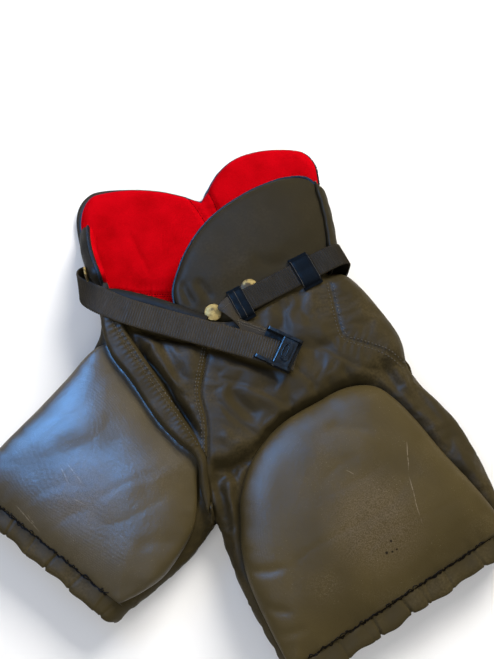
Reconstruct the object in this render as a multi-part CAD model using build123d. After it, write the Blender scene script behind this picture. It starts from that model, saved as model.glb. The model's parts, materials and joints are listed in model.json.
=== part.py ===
"""Youth ice hockey pants, lying on their back with the belt fastened and the right hip pad standing up.

+Z is up out of the floor, +Y runs from the legs to the waist, and +X is the wearer's left.
Plan outlines are measured from the crotch, which stands at CROTCH in the part's frame.
Every piece is a closed solid, and pieces that lie on each other touch on flat faces.
"""

import math
import os

from build123d import *

# ---- driving dimensions, in millimetres ----
CROTCH = (-17.1, -119.1)      # where the legs part, in the part's frame
SHELL = 3.0                   # sewn nylon with its lining
SEAT_Z = 4.0                  # underside of the seat: the belt and its loops run below it
TORSO_TOP = 58.0              # top of the front panels
LEG_TOP = 48.0                # top of a leg's front panel
SEAT_FOAM = 8.0
TAIL_FOAM = 6.0
PAD_FOAM = 12.0               # thigh pad foam
GUARD = 2.8                   # moulded thigh guard
POCKET_WALL = 2.0             # cloth round the thigh pad
PLAY = 0.2                    # room between a pad and its pocket

BACK_SKIN = 1.6               # cover under the kidney pads
PLATE = 2.0                   # plastic plates
BACK_FOAM = 9.0
LINER = 1.4
BACK_TOP = BACK_SKIN + PLATE + BACK_FOAM + 2 * PLAY
LOBE_UNDER = 44.0             # underside of the left hip pad where it lies over the kidney pad
LOBE_FOAM = 7.5

BELT_WIDTH = 25.0
BELT_T = 1.5
BELT_UNDER_Z = 1.5            # underside of the belt where it runs below the seat
LEFT_RUN_Z = 60.0             # underside of the belt on the left hip
RIGHT_RUN_Z = 63.5            # underside of the belt that goes into the buckle
LOOP_T = 1.2
LOOP_FOOT = 2.0
LOOP_REACH = BELT_WIDTH / 2 + 0.6 + LOOP_FOOT

CUFF_LENGTH = 20.0
CUFF_HEIGHT = 44.0
CUFF_WALL = 5.0
ELASTIC_T = 1.6
ELASTIC_WIDTH = 12.0

BUTTON_R = 8.5
BUTTON_CAP = 2.2
SHANK_R = 2.5
SHANK_PLAY = 0.05
SHANK_IN_CAP = 1.4
BUTTON_STAND = 0.6            # the shank's length between cloth and cap

# ---- plan outlines, from the crotch; a leg folds on a line from (-8, 45) out to its hip ----
LEFT_BELT_FROM, LEFT_BELT_ANGLE = (20, 198.5), math.degrees(math.atan2(53.5, 100))
RIGHT_BELT_FROM, RIGHT_BELT_ANGLE = (51, 151.5), math.degrees(math.atan2(46, -160))
TAB_FROM, TAB_ANGLE, TAB_LENGTH = (5, 173), -17.0, 50.0
BUCKLE_AT, BUCKLE_ANGLE = (57, 153), -25.0
WAIST_LINE = [(-40, 195), (-9, 182), (18, 182), (108.5, 234)]
FLY_SEAM = [(-9, 182), (-9, 154), (-15, 116), (-8, 88), (-8, 46.5)]
GROIN_SEAM = [(-104, 213), (-91, 169), (-62, 126), (-33, 93), (-10, 56)]
LEFT_LOBE = [(-40, 196), (-43, 214), (-38, 234), (-29, 259), (-15, 282), (4, 301), (31, 319), (56, 332), (70, 335),
             (86, 336), (97, 329), (105, 304), (107.5, 280), (108.5, 262)]
BACK_LOBES = [(-123, 219), (-144, 300), (-141, 316), (-130, 328), (-103, 334), (-62, 332), (-36, 325), (-18, 322),
              (-12, 335), (-1, 356), (16, 369), (36, 377), (60, 379), (83, 374), (94, 361), (99, 342), (107, 302),
              (112, 264), (-14, 200), (-30, 196)]
SPINE_X = (-25, -9)

LEGS = {
    "left": {
        "inner": [(5, 20), (6, -5), (12, -28), (24, -58), (38, -86), (52, -112)],
        "hem": ((60, -126), (262, 0)),
        "outer": [(258, 26), (245, 55), (229, 87), (210, 111), (190, 131)],
        "top": ((9, 54.2), (176, 162)),
        "pad": [(22, -4), (24, 28), (42, 68), (80, 97), (128, 119), (158, 114), (196, 75), (232, 30), (242, -4),
                (216, -31), (140, -79), (86, -105), (50, -76)],
    },
    "right": {
        "inner": [(-15, 22), (-12, -6), (-24, -29), (-40, -47), (-58, -62)],
        "hem": ((-78, -76), (-226, 38)),
        "outer": [(-214, 55), (-191, 77), (-165, 105), (-139, 134), (-125, 152)],
        "top": ((-21, 56.5), (-118.5, 167)),
        "pad": [(-113, 148), (-74, 112), (-30, 58), (-20, 14), (-34, -30), (-62, -60), (-88, -60), (-140, -24),
                (-200, 26), (-204, 48), (-165, 92), (-134, 130)],
    },
}


def placed(point, z=0.0):
    """A plan point measured from the crotch, as a point of the part's frame."""
    return Vector(CROTCH[0] + point[0], CROTCH[1] + point[1], z)


def outline(points, smooth=False):
    """The flat face inside a closed plan outline."""
    at = [placed(p) for p in points]
    edges = Spline(*at, periodic=True) if smooth else Polyline(*at, close=True)
    return make_face(edges)


def slab(face, low, high):
    """A plan face between two heights."""
    return Pos(0, 0, low) * extrude(face, amount=high - low, dir=(0, 0, 1))


def shrunk(face, by):
    """A flat face with its whole edge moved in."""
    return offset(face, amount=-by, kind=Kind.INTERSECTION)


def inset(points, by):
    """The points of a round closed outline, each moved in."""
    pairs = list(zip(points, points[1:] + points[:1]))
    turn = 1 if sum(a[0] * b[1] - b[0] * a[1] for a, b in pairs) > 0 else -1
    moved = []
    for index, (x, y) in enumerate(points):
        way = unit(points[index - 1], points[(index + 1) % len(points)])
        moved.append((x - turn * by * way[1], y + turn * by * way[0]))
    return moved


def beside(line, by):
    """A run of plan points moved sideways by a vector."""
    return [(x + by[0], y + by[1]) for x, y in line]


def unit(a, b):
    """The plan direction from a to b."""
    length = math.dist(a, b)
    return ((b[0] - a[0]) / length, (b[1] - a[1]) / length)


def upright(start, degrees):
    """An upright plane through a plan point: its x runs along the given direction and its y is up."""
    along = Vector(1, 0, 0).rotate(Axis.Z, degrees)
    return Plane(origin=placed(start), x_dir=along, z_dir=along.cross(Vector(0, 0, 1)))


# ---- torso ----
LEFT_SIDE = [(112, 261), (121, 243), (137, 225), (155, 201), (177, 168)]
RIGHT_SIDE = [(-121, 216), (-116, 193), (-117, 172)]


def torso():
    """The seat, the front panels, the side walls and the padding of the seat."""
    crotch_strip = [(-10.5, 44), (-5.5, 44), (-2.5, -4), (-6.5, -8), (-9.5, -4)]
    seat = RIGHT_SIDE + [(-8, 45)] + LEFT_SIDE[::-1] + [(-14, 197), (-30, 193)]
    front_left = WAIST_LINE[1:] + LEFT_SIDE[1:] + FLY_SEAM[:0:-1]
    front_right = GROIN_SEAM[::-1] + [(-118, 212), (-114, 192), (-114, 170), (-12, 51)]
    fly = FLY_SEAM[:-1] + [(-9, 58)] + GROIN_SEAM[::-1] + WAIST_LINE[:1]
    wall_low, wall_high = SEAT_Z + SHELL, TORSO_TOP - SHELL
    wall_left = LEFT_SIDE[1:] + beside(LEFT_SIDE[1:], (-SHELL, -SHELL))[::-1]
    wall_right = RIGHT_SIDE + beside(RIGHT_SIDE, (SHELL, 0))[::-1]
    tail = outline([(-48, 118), (-30, 92), (6, 92), (24, 118), (20, 184), (-44, 184)])
    seat_pads = outline([(-100, 174), (-52, 120), (-52, 176)]) + outline([(28, 112), (140, 172), (96, 214), (28, 186)])
    return {
        "seat_panel": slab(outline(seat), SEAT_Z, SEAT_Z + SHELL),
        "front_panel_left": slab(outline(front_left), wall_high, TORSO_TOP),
        "front_panel_right": slab(outline(front_right), wall_high, TORSO_TOP),
        "fly_gusset": slab(outline(fly), wall_high, TORSO_TOP),
        "crotch_gusset": slab(outline(crotch_strip), SEAT_Z, wall_high),
        "side_panel_left": slab(outline(wall_left), wall_low, wall_high),
        "side_panel_right": slab(outline(wall_right), wall_low, wall_high),
        "seat_foam": slab(seat_pads, wall_low, wall_low + SEAT_FOAM),
        "tailbone_foam": slab(tail, wall_low, wall_low + TAIL_FOAM),
        "tailbone_plate": slab(shrunk(tail, 5), wall_low + TAIL_FOAM, wall_low + TAIL_FOAM + PLATE),
    }


# ---- kidney pads, which lie on the floor ----
def column(x_low, x_high):
    """A tall plan face that is wider than the garment is long."""
    return outline([(x_low, 0), (x_high, 0), (x_high, 400), (x_low, 400)])


def kidney_pads():
    """The cover, plates, foams and liner of the back above the waist."""
    whole = outline(BACK_LOBES)
    inside = shrunk(whole, BACK_SKIN)
    room = shrunk(inside, PLAY)
    spine = column(*SPINE_X)
    right_half = column(-200, SPINE_X[0] - 1)
    left_half = column(SPINE_X[1] + 1, 200)
    foam_low = BACK_SKIN + PLATE + PLAY
    cover = slab(whole, 0, BACK_TOP) - slab(inside, BACK_SKIN, BACK_TOP)
    return {
        "back_cover": cover,
        "back_liner": slab(whole, BACK_TOP, BACK_TOP + LINER),
        "spine_foam": slab(spine & room, foam_low, BACK_TOP),
        "kidney_foam_left": slab(left_half & room, foam_low, BACK_TOP),
        "kidney_foam_right": slab(right_half & room, foam_low, BACK_TOP),
        "kidney_plate_left": slab(left_half & shrunk(room, 8), BACK_SKIN, BACK_SKIN + PLATE),
        "kidney_plate_right": slab(right_half & shrunk(room, 8), BACK_SKIN, BACK_SKIN + PLATE),
    }


# ---- left hip pad, held down over the kidney pad by the belt ----
HIP_COVER_TOP = LOBE_UNDER + LINER + LOBE_FOAM + PLATE + BACK_SKIN


def left_hip_pad():
    """The pad's four layers, and the wrap that joins it to the back round the wearer's side."""
    foot = [(x, y + 0.4) for x, y in WAIST_LINE[:0:-1]]
    whole = outline(LEFT_LOBE + foot)
    inside = shrunk(whole, BACK_SKIN)
    foam_low = LOBE_UNDER + LINER
    plate_low = foam_low + LOBE_FOAM
    cover_low = plate_low + PLATE
    cover = slab(whole, foam_low, HIP_COVER_TOP) - slab(inside, foam_low, cover_low)
    edge = LEFT_LOBE[-1:-5:-1]
    side = slab(outline(edge + beside(edge, (SHELL, 0))[::-1]), BACK_TOP + LINER, cover_low)
    return {
        "hip_cover_left": cover,
        "side_wrap_left": side,
        "hip_liner_left": slab(whole, LOBE_UNDER, foam_low),
        "hip_foam_left": slab(shrunk(inside, PLAY), foam_low, plate_low),
        "hip_plate_left": slab(shrunk(inside, 8), plate_low, cover_low),
    }


# ---- right hip pad, which stands up from the back; its outline runs from its upper end to its lower one ----
RIGHT_LOBE_BASE = ((-130, 300), (-108, 222))
RIGHT_LOBE = [(0, 0), (0, 8), (14, 20), (40, 40), (66, 57), (76, 58), (81, 50), (81, 0)]
LOBE_DEPTH = LINER + BACK_FOAM + PLATE + BACK_SKIN
LOBE_LIFT = 0.6               # the stitched fold between the back and the hip pad


def lobe_plane():
    """Upright along the base of the right hip pad. Its y is up and its z leaves the garment."""
    along = Vector(*unit(*RIGHT_LOBE_BASE), 0)
    origin = placed(RIGHT_LOBE_BASE[0], BACK_TOP + LINER + LOBE_LIFT)
    return Plane(origin=origin, x_dir=along, z_dir=along.cross(Vector(0, 0, 1)))


def right_hip_pad():
    """The same four layers, standing, from the liner outwards."""
    out = lobe_plane()
    whole = make_face(Polyline(*RIGHT_LOBE, close=True))
    inside = shrunk(whole, BACK_SKIN)
    made = {}
    depth = 0.0
    for name, face, thick in (("hip_liner_right", whole, LINER), ("hip_foam_right", shrunk(inside, PLAY), BACK_FOAM),
                              ("hip_plate_right", shrunk(inside, 4), PLATE)):
        made[name] = out * Pos(0, 0, depth) * extrude(face, amount=thick)
        depth += thick
    shell = extrude(whole, amount=LOBE_DEPTH - LINER) - extrude(inside, amount=depth - LINER)
    made["hip_cover_right"] = out * Pos(0, 0, LINER) * shell
    return made


PATCH = (14.0, 9.0, 2.0)


def fly_patch():
    """The hook-and-loop patch of the fly, at the standing pad's front end."""
    return lobe_plane() * Pos(81 + PATCH[1] / 2, 44 - PATCH[0] / 2, PATCH[2] / 2) * Box(PATCH[1], PATCH[0], PATCH[2])


# ---- legs ----
def leg_frame(leg):
    """The plan direction across a leg, from its inseam to its outseam, and the one down it."""
    across = unit(*leg["hem"])
    down = (across[1], -across[0])
    if down[1] > 0:
        down = (-down[0], -down[1])
    return across, down


def cuff(leg, height, width_in, length, wall):
    """A flattened ring round the end of a leg. width_in is how far it is inside the leg's full width."""
    across, down = leg_frame(leg)
    a, b = leg["hem"]
    middle = ((a[0] + b[0]) / 2 + down[0] * CUFF_LENGTH / 2, (a[1] + b[1]) / 2 + down[1] * CUFF_LENGTH / 2)
    width = math.dist(a, b) - 2 * width_in
    plane = Plane(origin=placed(middle, CUFF_HEIGHT / 2), x_dir=Vector(*across, 0), z_dir=Vector(*down, 0))
    corner = height * 0.45
    ring = RectangleRounded(width, height, corner) - RectangleRounded(width - 2 * wall, height - 2 * wall,
                                                                     corner - wall)
    return plane * extrude(ring, amount=length / 2, both=True)


def leg_pieces(side, leg):
    """The panels, pad, guard, pocket and gathered cuff of one leg."""
    across, _ = leg_frame(leg)
    inner = [leg["top"][0]] + leg["inner"] + [leg["hem"][0]]
    outer = [leg["hem"][1]] + leg["outer"] + [leg["top"][1]]
    whole = outline(inner + outer)
    in_wall = outline(inner + beside(inner, (SHELL * across[0], SHELL * across[1]))[::-1]) & whole
    out_wall = outline(outer + beside(outer, (-SHELL * across[0], -SHELL * across[1]))[::-1]) & whole
    pad, pocket_inside, foam, guard = (
        outline(inset(leg["pad"], by), smooth=True)
        for by in (0, POCKET_WALL, POCKET_WALL + PLAY, POCKET_WALL + 5)
    )
    pad_low = LEG_TOP
    guard_low = pad_low + PAD_FOAM + PLAY
    pocket_low = guard_low + GUARD + PLAY
    pocket = slab(pad, pad_low, pocket_low + POCKET_WALL) - slab(pocket_inside, pad_low, pocket_low)
    groove = cuff(leg, CUFF_HEIGHT - 2 * (CUFF_WALL - ELASTIC_T) / 2 + 2 * PLAY, 5.7 - PLAY,
                  ELASTIC_WIDTH + 2 * PLAY, ELASTIC_T + 2 * PLAY)
    elastic = cuff(leg, CUFF_HEIGHT - 2 * (CUFF_WALL - ELASTIC_T) / 2, 5.7, ELASTIC_WIDTH, ELASTIC_T)
    return {
        f"leg_back_{side}": slab(whole, 0, SHELL),
        f"leg_front_{side}": slab(whole, LEG_TOP - SHELL, LEG_TOP),
        f"leg_inseam_{side}": slab(in_wall, SHELL, LEG_TOP - SHELL),
        f"leg_outseam_{side}": slab(out_wall, SHELL, LEG_TOP - SHELL),
        f"thigh_foam_{side}": slab(foam, pad_low, pad_low + PAD_FOAM),
        f"thigh_guard_{side}": slab(guard, guard_low, guard_low + GUARD),
        f"thigh_pocket_{side}": pocket,
        f"hem_cuff_{side}": cuff(leg, CUFF_HEIGHT, 4, CUFF_LENGTH, CUFF_WALL) - groove,
        f"hem_elastic_{side}": elastic,
    }


# ---- belt ----
def ribbon(start, degrees, path, radii):
    """Webbing bent along a path in an upright plane."""
    line = FilletPolyline(*path, radius=radii)
    band = trace(line, line_width=BELT_T)
    return upright(start, degrees) * extrude(band, amount=BELT_WIDTH / 2, both=True)


def strip(start, degrees, length, low):
    """A straight flat length of webbing that starts at a plan point."""
    return upright(start, degrees) * Pos(length / 2, low + BELT_T / 2) * Box(length, BELT_T, BELT_WIDTH)


def belt():
    """The two lengths of webbing. The left one folds back at its end, and its tab goes under the buckle."""
    under = BELT_UNDER_Z + BELT_T / 2
    left_top = LEFT_RUN_Z + BELT_T / 2
    right_top = RIGHT_RUN_Z + BELT_T / 2
    left_out, right_out = 117.5, 194.0
    left_path = [(-14, left_top), (left_out, left_top), (left_out, under), (-20, under)]
    right_path = [(20, right_top), (right_out, right_top), (right_out, under), (96, under)]
    into_buckle = Vector(*BUCKLE_AT, 0) - Vector(30, 0, 0).rotate(Axis.Z, BUCKLE_ANGLE)
    right = ribbon(RIGHT_BELT_FROM, RIGHT_BELT_ANGLE, right_path, [30, 14])
    right += strip((into_buckle.X, into_buckle.Y), BUCKLE_ANGLE, 42, RIGHT_RUN_Z)
    left = ribbon(LEFT_BELT_FROM, LEFT_BELT_ANGLE, left_path, [12, 6])
    left += strip(TAB_FROM, TAB_ANGLE, TAB_LENGTH, LEFT_RUN_Z)
    return {"belt_left": left, "belt_right": right}


def belt_loop(at, length):
    """A bridge of cloth over the belt on the left hip, from the hip pad to the front panel."""
    plane = upright(LEFT_BELT_FROM, LEFT_BELT_ANGLE)
    top = LEFT_RUN_Z + BELT_T + 0.3 + LOOP_T
    loop = plane * Pos(at, top - LOOP_T / 2) * Box(length, LOOP_T, 2 * LOOP_REACH)
    for side, low in ((-1, HIP_COVER_TOP), (1, TORSO_TOP)):
        height = top - low
        loop += plane * Pos(at, low + height / 2, side * (LOOP_REACH - LOOP_FOOT / 2)) * Box(length, height, LOOP_FOOT)
    return loop


def back_loops():
    """The loops below the seat, one for each length of the belt."""
    loops = Part()
    for start, degrees, at in ((LEFT_BELT_FROM, LEFT_BELT_ANGLE, 40), (RIGHT_BELT_FROM, RIGHT_BELT_ANGLE, 140)):
        plane = upright(start, degrees)
        loops += plane * Pos(at, LOOP_T / 2) * Box(16, LOOP_T, 2 * LOOP_REACH)
        for side in (-1, 1):
            loops += plane * Pos(at, SEAT_Z / 2, side * (LOOP_REACH - LOOP_FOOT / 2)) * Box(16, SEAT_Z, LOOP_FOOT)
    return loops


# ---- buckle: a frame, a cam lever and the pin that it turns on ----
BUCKLE_LENGTH, BUCKLE_WIDTH = 36.0, 32.0
RAIL = 2.8
BUCKLE_LOW = LEFT_RUN_Z + BELT_T
BUCKLE_BASE = 1.4
BUCKLE_HIGH = 71.5
END_BAR = (2.6, 5.0)
PIN_R = 1.2
PIN_PLAY = 0.05
PIN_X, PIN_Z = 1.5, 68.0
CAM_R = 2.6
LEVER_T = 2.2
LEVER_END_X = 15.0
RIDGE = (5.5, 17.0, 1.2)


def buckle_plane():
    return Plane(origin=placed(BUCKLE_AT), x_dir=Vector(1, 0, 0).rotate(Axis.Z, BUCKLE_ANGLE))


def across_bar(radius, length):
    """A round bar across the buckle, on the lever's axis."""
    return Pos(PIN_X, 0, PIN_Z) * Rot(90, 0, 0) * Cylinder(radius, length)


def buckle():
    """The frame with its two rails and end bar, the pin, and the lever with its finger ridge."""
    frame = Pos(0, 0, BUCKLE_LOW + BUCKLE_BASE / 2) * Box(BUCKLE_LENGTH, BUCKLE_WIDTH, BUCKLE_BASE)
    tall = BUCKLE_HIGH - BUCKLE_LOW
    for side in (-1, 1):
        rail = Pos(0, side * (BUCKLE_WIDTH - RAIL) / 2, BUCKLE_LOW + tall / 2) * Box(BUCKLE_LENGTH, RAIL, tall)
        frame += fillet(rail.edges().filter_by(Axis.Y).group_by(Axis.Z)[-1], 3)
    end_x = (BUCKLE_LENGTH - END_BAR[0]) / 2
    frame += Pos(end_x, 0, BUCKLE_LOW + END_BAR[1] / 2) * Box(END_BAR[0], BUCKLE_WIDTH, END_BAR[1])
    frame -= across_bar(PIN_R, BUCKLE_WIDTH + 1)
    lever_width = BUCKLE_WIDTH - 2 * RAIL - 0.8
    length = LEVER_END_X - PIN_X + 1
    plate = Box(length, lever_width, LEVER_T)
    plate = fillet(plate.edges().filter_by(Axis.Z), 0.9)
    lever = across_bar(CAM_R, lever_width) + Pos(LEVER_END_X - length / 2, 0, PIN_Z + LEVER_T / 2 + 0.2) * plate
    ridge = extrude(SlotOverall(RIDGE[1], RIDGE[0], rotation=90), amount=RIDGE[2])
    lever += Pos(LEVER_END_X - RIDGE[0], 0, PIN_Z + LEVER_T + 0.2) * ridge
    lever -= across_bar(PIN_R + PIN_PLAY, BUCKLE_WIDTH)
    pin = across_bar(PIN_R, BUCKLE_WIDTH)
    plane = buckle_plane()
    return {"buckle_frame": plane * frame, "buckle_pin": plane * pin, "buckle_lever": plane * lever}


# ---- suspender buttons ----
LEFT_BUTTONS = [(-4, 191.5), (30, 216.5)]
RIGHT_BUTTONS = [(70, 44), (70, 11)]


def button(plane):
    """A tack through the cover and a cap that turns on it. The plane's z leaves the garment."""
    foot = Pos(0, 0, (BUTTON_STAND - BACK_SKIN) / 2) * Cylinder(SHANK_R, BUTTON_STAND + BACK_SKIN)
    tack = foot + Pos(0, 0, BUTTON_STAND + SHANK_IN_CAP / 2) * Cylinder(SHANK_R, SHANK_IN_CAP)
    dome = Pos(0, 0, BUTTON_STAND + BUTTON_CAP / 2) * Cylinder(BUTTON_R, BUTTON_CAP)
    dome = fillet(dome.edges().group_by(Axis.Z)[-1], 1.6)
    socket_depth = SHANK_IN_CAP + PLAY / 2
    socket = Pos(0, 0, BUTTON_STAND + socket_depth / 2) * Cylinder(SHANK_R + SHANK_PLAY, socket_depth)
    return plane * tack, plane * (dome - socket)


def buttons(pieces):
    """Two buttons on each hip pad. Each tack goes through its pad's cover."""
    out = lobe_plane()
    places = [("left", number, Plane(origin=placed(at, HIP_COVER_TOP)))
              for number, at in enumerate(LEFT_BUTTONS, 1)]
    places += [("right", number, out * Pos(at[0], at[1], LOBE_DEPTH)) for number, at in enumerate(RIGHT_BUTTONS, 1)]
    tacks = []
    for side, number, plane in places:
        tack, cap = button(plane)
        tacks.append(tack)
        pieces[f"button_cap_{side}_{number}"] = cap
        pieces[f"hip_cover_{side}"] -= tack
    pieces["button_tacks"] = Compound(tacks)


def build():
    """Every piece by its node name."""
    pieces = {**torso(), **kidney_pads(), **left_hip_pad(), **right_hip_pad(), **belt(), **buckle()}
    for side, leg in LEGS.items():
        pieces.update(leg_pieces(side, leg))
    pieces["fly_patch"] = fly_patch()
    pieces["belt_loop_wide"] = belt_loop(72.3, 21)
    pieces["belt_loop_narrow"] = belt_loop(2.5, 8)
    pieces["belt_loops_back"] = back_loops()
    buttons(pieces)
    return pieces


os.makedirs("parts", exist_ok=True)
for name, shape in build().items():
    export_step(shape, f"parts/{name}.step")
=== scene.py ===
import json
import math

import bmesh
import bpy
import numpy as np
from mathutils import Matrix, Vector
from mathutils.bvhtree import BVHTree
from mathutils.geometry import delaunay_2d_cdt


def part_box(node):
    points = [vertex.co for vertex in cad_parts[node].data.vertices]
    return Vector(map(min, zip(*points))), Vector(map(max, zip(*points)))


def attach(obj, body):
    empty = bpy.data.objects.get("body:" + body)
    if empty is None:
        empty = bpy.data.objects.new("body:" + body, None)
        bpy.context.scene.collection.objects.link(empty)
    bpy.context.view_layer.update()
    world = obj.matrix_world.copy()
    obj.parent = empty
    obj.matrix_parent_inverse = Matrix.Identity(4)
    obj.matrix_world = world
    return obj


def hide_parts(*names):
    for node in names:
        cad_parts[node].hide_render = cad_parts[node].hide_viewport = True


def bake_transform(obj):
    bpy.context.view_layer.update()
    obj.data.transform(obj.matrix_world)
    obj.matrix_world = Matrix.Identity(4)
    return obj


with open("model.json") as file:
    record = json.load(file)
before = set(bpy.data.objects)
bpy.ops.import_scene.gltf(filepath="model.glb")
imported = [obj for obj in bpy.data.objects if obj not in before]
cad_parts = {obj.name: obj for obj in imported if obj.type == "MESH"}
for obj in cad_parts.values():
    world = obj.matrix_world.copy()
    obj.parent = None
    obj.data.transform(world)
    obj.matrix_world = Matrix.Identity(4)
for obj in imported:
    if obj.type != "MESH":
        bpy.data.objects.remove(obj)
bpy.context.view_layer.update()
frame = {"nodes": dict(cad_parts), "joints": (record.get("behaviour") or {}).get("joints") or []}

MM = 0.001
GUSSET_REACH = (10.5, 44.0)      # from the crotch gusset's left edge and its top edge to the crotch


# ---- places and levels, from the frame ----
def level(node, end):
    """A node's lowest (0) or highest (1) z, in millimetres."""
    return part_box(node)[end].z / MM


gusset_low, gusset_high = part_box("crotch_gusset")
CROTCH = np.array([gusset_low.x / MM + GUSSET_REACH[0], gusset_high.y / MM - GUSSET_REACH[1], 0.0])
TORSO_TOP = level("front_panel_left", 1)
SEAT_LOW = level("seat_panel", 0)
LEG_TOP = level("leg_front_left", 1)
PAD_TOP = level("thigh_pocket_left", 1)
LOBE_LOW = level("hip_liner_left", 0)
LOBE_TOP = level("hip_cover_left", 1)
LINER_TOP = level("back_liner", 1)
LEFT_RUN = level("belt_loop_wide", 1) - 3.0
RIGHT_RUN = level("buckle_frame", 0) + 2.0
MIDDLE = 24.0                    # height of the side seams above the floor
JOINTS = {joint["name"]: joint for joint in frame["joints"]}


def placed(points):
    """Points in millimetres from the crotch, as metres in the row's frame."""
    return (np.asarray(points, float) + CROTCH) * MM


def planned(point):
    """A point of the row's frame, in millimetres from the crotch."""
    return np.asarray(point, float) / MM - CROTCH


def unit(rows):
    """Each row of an array, scaled to length 1."""
    return rows / np.linalg.norm(rows, axis=1)[:, None]


def upright(path):
    """Straight up, once for each point of a path."""
    return np.tile((0.0, 0.0, 1.0), (len(path), 1))


def travelled(line):
    """How far along a line each of its points is."""
    return np.concatenate([[0], np.cumsum(np.linalg.norm(np.diff(line, axis=0), axis=1))])


# ---- plan curves ----
def curve(points, step=3.0, closed=False):
    """A smooth line through given points, sampled about every step."""
    p = np.array(points, float)
    p = np.vstack([p[-1:], p, p[:2]]) if closed else np.vstack([2 * p[0] - p[1], p, 2 * p[-1] - p[-2]])
    made = []
    for a, b, c, d in zip(p, p[1:], p[2:], p[3:]):
        count = max(1, round(np.linalg.norm(c - b) / step))
        t = np.arange(count)[:, None] / count
        bowed = (2 * a - 5 * b + 4 * c - d) * t**2 + (3 * b - a - 3 * c + d) * t**3
        made.append(b + ((c - a) * t + bowed) / 2)
    if not closed:
        made.append(p[-2:-1])
    return np.vstack(made)


def outline(*runs, step=3.0):
    """A closed outline from smooth runs, each of which starts where the one before ends."""
    return np.vstack([curve(run, step)[:-1] for run in runs])


def nearest(points, line, closed=False):
    """Each point's plan distance from a line, how far along the nearest place is, and its side."""
    start, end = (line, np.roll(line, -1, 0)) if closed else (line[:-1], line[1:])
    span = end - start
    length = np.sqrt((span**2).sum(1))
    before = np.concatenate([[0], np.cumsum(length)[:-1]])
    far, along, side = (np.empty(len(points)) for _ in range(3))
    for low in range(0, len(points), 3000):
        gap = points[low:low + 3000, None] - start
        share = np.clip((gap * span).sum(2) / length**2, 0, 1)
        off = gap - share[..., None] * span
        squared = (off**2).sum(2)
        best = squared.argmin(1)
        row = np.arange(len(best))
        far[low:low + 3000] = np.sqrt(squared[row, best])
        along[low:low + 3000] = before[best] + share[row, best] * length[best]
        side[low:low + 3000] = np.sign(span[best, 0] * off[row, best, 1] - span[best, 1] * off[row, best, 0])
    return far, along, side


def within(points, rim):
    """Which plan points are inside a closed outline."""
    x, y = points[:, 0], points[:, 1]
    inside = np.zeros(len(points), bool)
    for (x0, y0), (x1, y1) in zip(rim, np.roll(rim, -1, 0)):
        if y0 != y1:
            inside ^= ((y0 > y) != (y1 > y)) & (x < x0 + (y - y0) * (x1 - x0) / (y1 - y0))
    return inside


def smooth(t):
    """0 before 0, 1 after 1, and an S between."""
    t = np.clip(t, 0, 1)
    return t * t * (3 - 2 * t)


def crown(far, radius, power=2.0):
    """A rounded edge: 0 at the rim and 1 from radius inwards."""
    return (1 - (1 - np.clip(far / radius, 0, 1)) ** power) ** (1 / power)


def bumps(plan, size, seed, stretch=(1.0, 1.0), turn=0.0):
    """Smooth random heights from -1 to 1, about size apart, stretched along a direction in degrees."""
    table = np.random.default_rng(seed).uniform(-1, 1, (128, 128))
    c, s = math.cos(math.radians(turn)), math.sin(math.radians(turn))
    x = (plan[:, 0] * c + plan[:, 1] * s) / (size * stretch[0]) + 500
    y = (plan[:, 1] * c - plan[:, 0] * s) / (size * stretch[1]) + 500
    ix, iy = np.floor(x).astype(int), np.floor(y).astype(int)
    fx, fy = smooth(x - ix), smooth(y - iy)
    corner = [[table[(ix + i) % 128, (iy + j) % 128] for j in (0, 1)] for i in (0, 1)]
    low = corner[0][0] * (1 - fx) + corner[1][0] * fx
    high = corner[0][1] * (1 - fx) + corner[1][1] * fx
    return low * (1 - fy) + high * fy


def creases(plan, size, seed, stretch=(3.0, 1.0), turn=0.0):
    """Sharp-bottomed random wrinkles that run along a direction, from -1 to 0."""
    ridged = 1 - np.abs(bumps(plan, size, seed, stretch, turn)) * 2.2
    return -np.clip(ridged, 0, 1) ** 2


def folds(plan, listed):
    """Listed folds, each (height, width, points): a ridge if its height is over 0, else a valley."""
    total = np.zeros(len(plan))
    for height, width, points in listed:
        line = curve(points, 4)
        far, along, _ = nearest(plan, line)
        whole = np.linalg.norm(np.diff(line, axis=0), axis=1).sum()
        fade = smooth(along / (0.3 * whole)) * smooth((whole - along) / (0.3 * whole))
        total += height * np.exp(-(far / width) ** 2) * fade
    return total


def seam_dip(plan, line, depth=1.5, width=2.2, pucker=0.5, pitch=6.0, reach=7.0, seed=1):
    """The groove of a sewn seam, with the puckers that its thread pulls up beside it."""
    far, along, _ = nearest(plan, line)
    drift = bumps(np.column_stack([along, along * 0]), 9, seed) * 1.6
    ripple = np.sin(2 * math.pi * along / pitch + drift) * np.exp(-((far - 3) / reach) ** 2)
    return pucker * ripple - depth * np.exp(-(far / width) ** 2)


# ---- meshes ----
def mesh_object(name, points, faces, where=placed):
    """A smooth-shaded object from points in millimetres."""
    mesh = bpy.data.meshes.new(name)
    mesh.from_pydata(where(points).tolist(), [], [list(map(int, face)) for face in faces])
    mesh.polygons.foreach_set("use_smooth", [True] * len(mesh.polygons))
    made = bpy.data.objects.new(name, mesh)
    bpy.context.scene.collection.objects.link(made)
    return made


def face_out(thing):
    """Turns a mesh's faces outwards."""
    made = bmesh.new()
    made.from_mesh(thing.data)
    bmesh.ops.recalc_face_normals(made, faces=made.faces)
    made.to_mesh(thing.data)
    made.free()
    return thing


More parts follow.
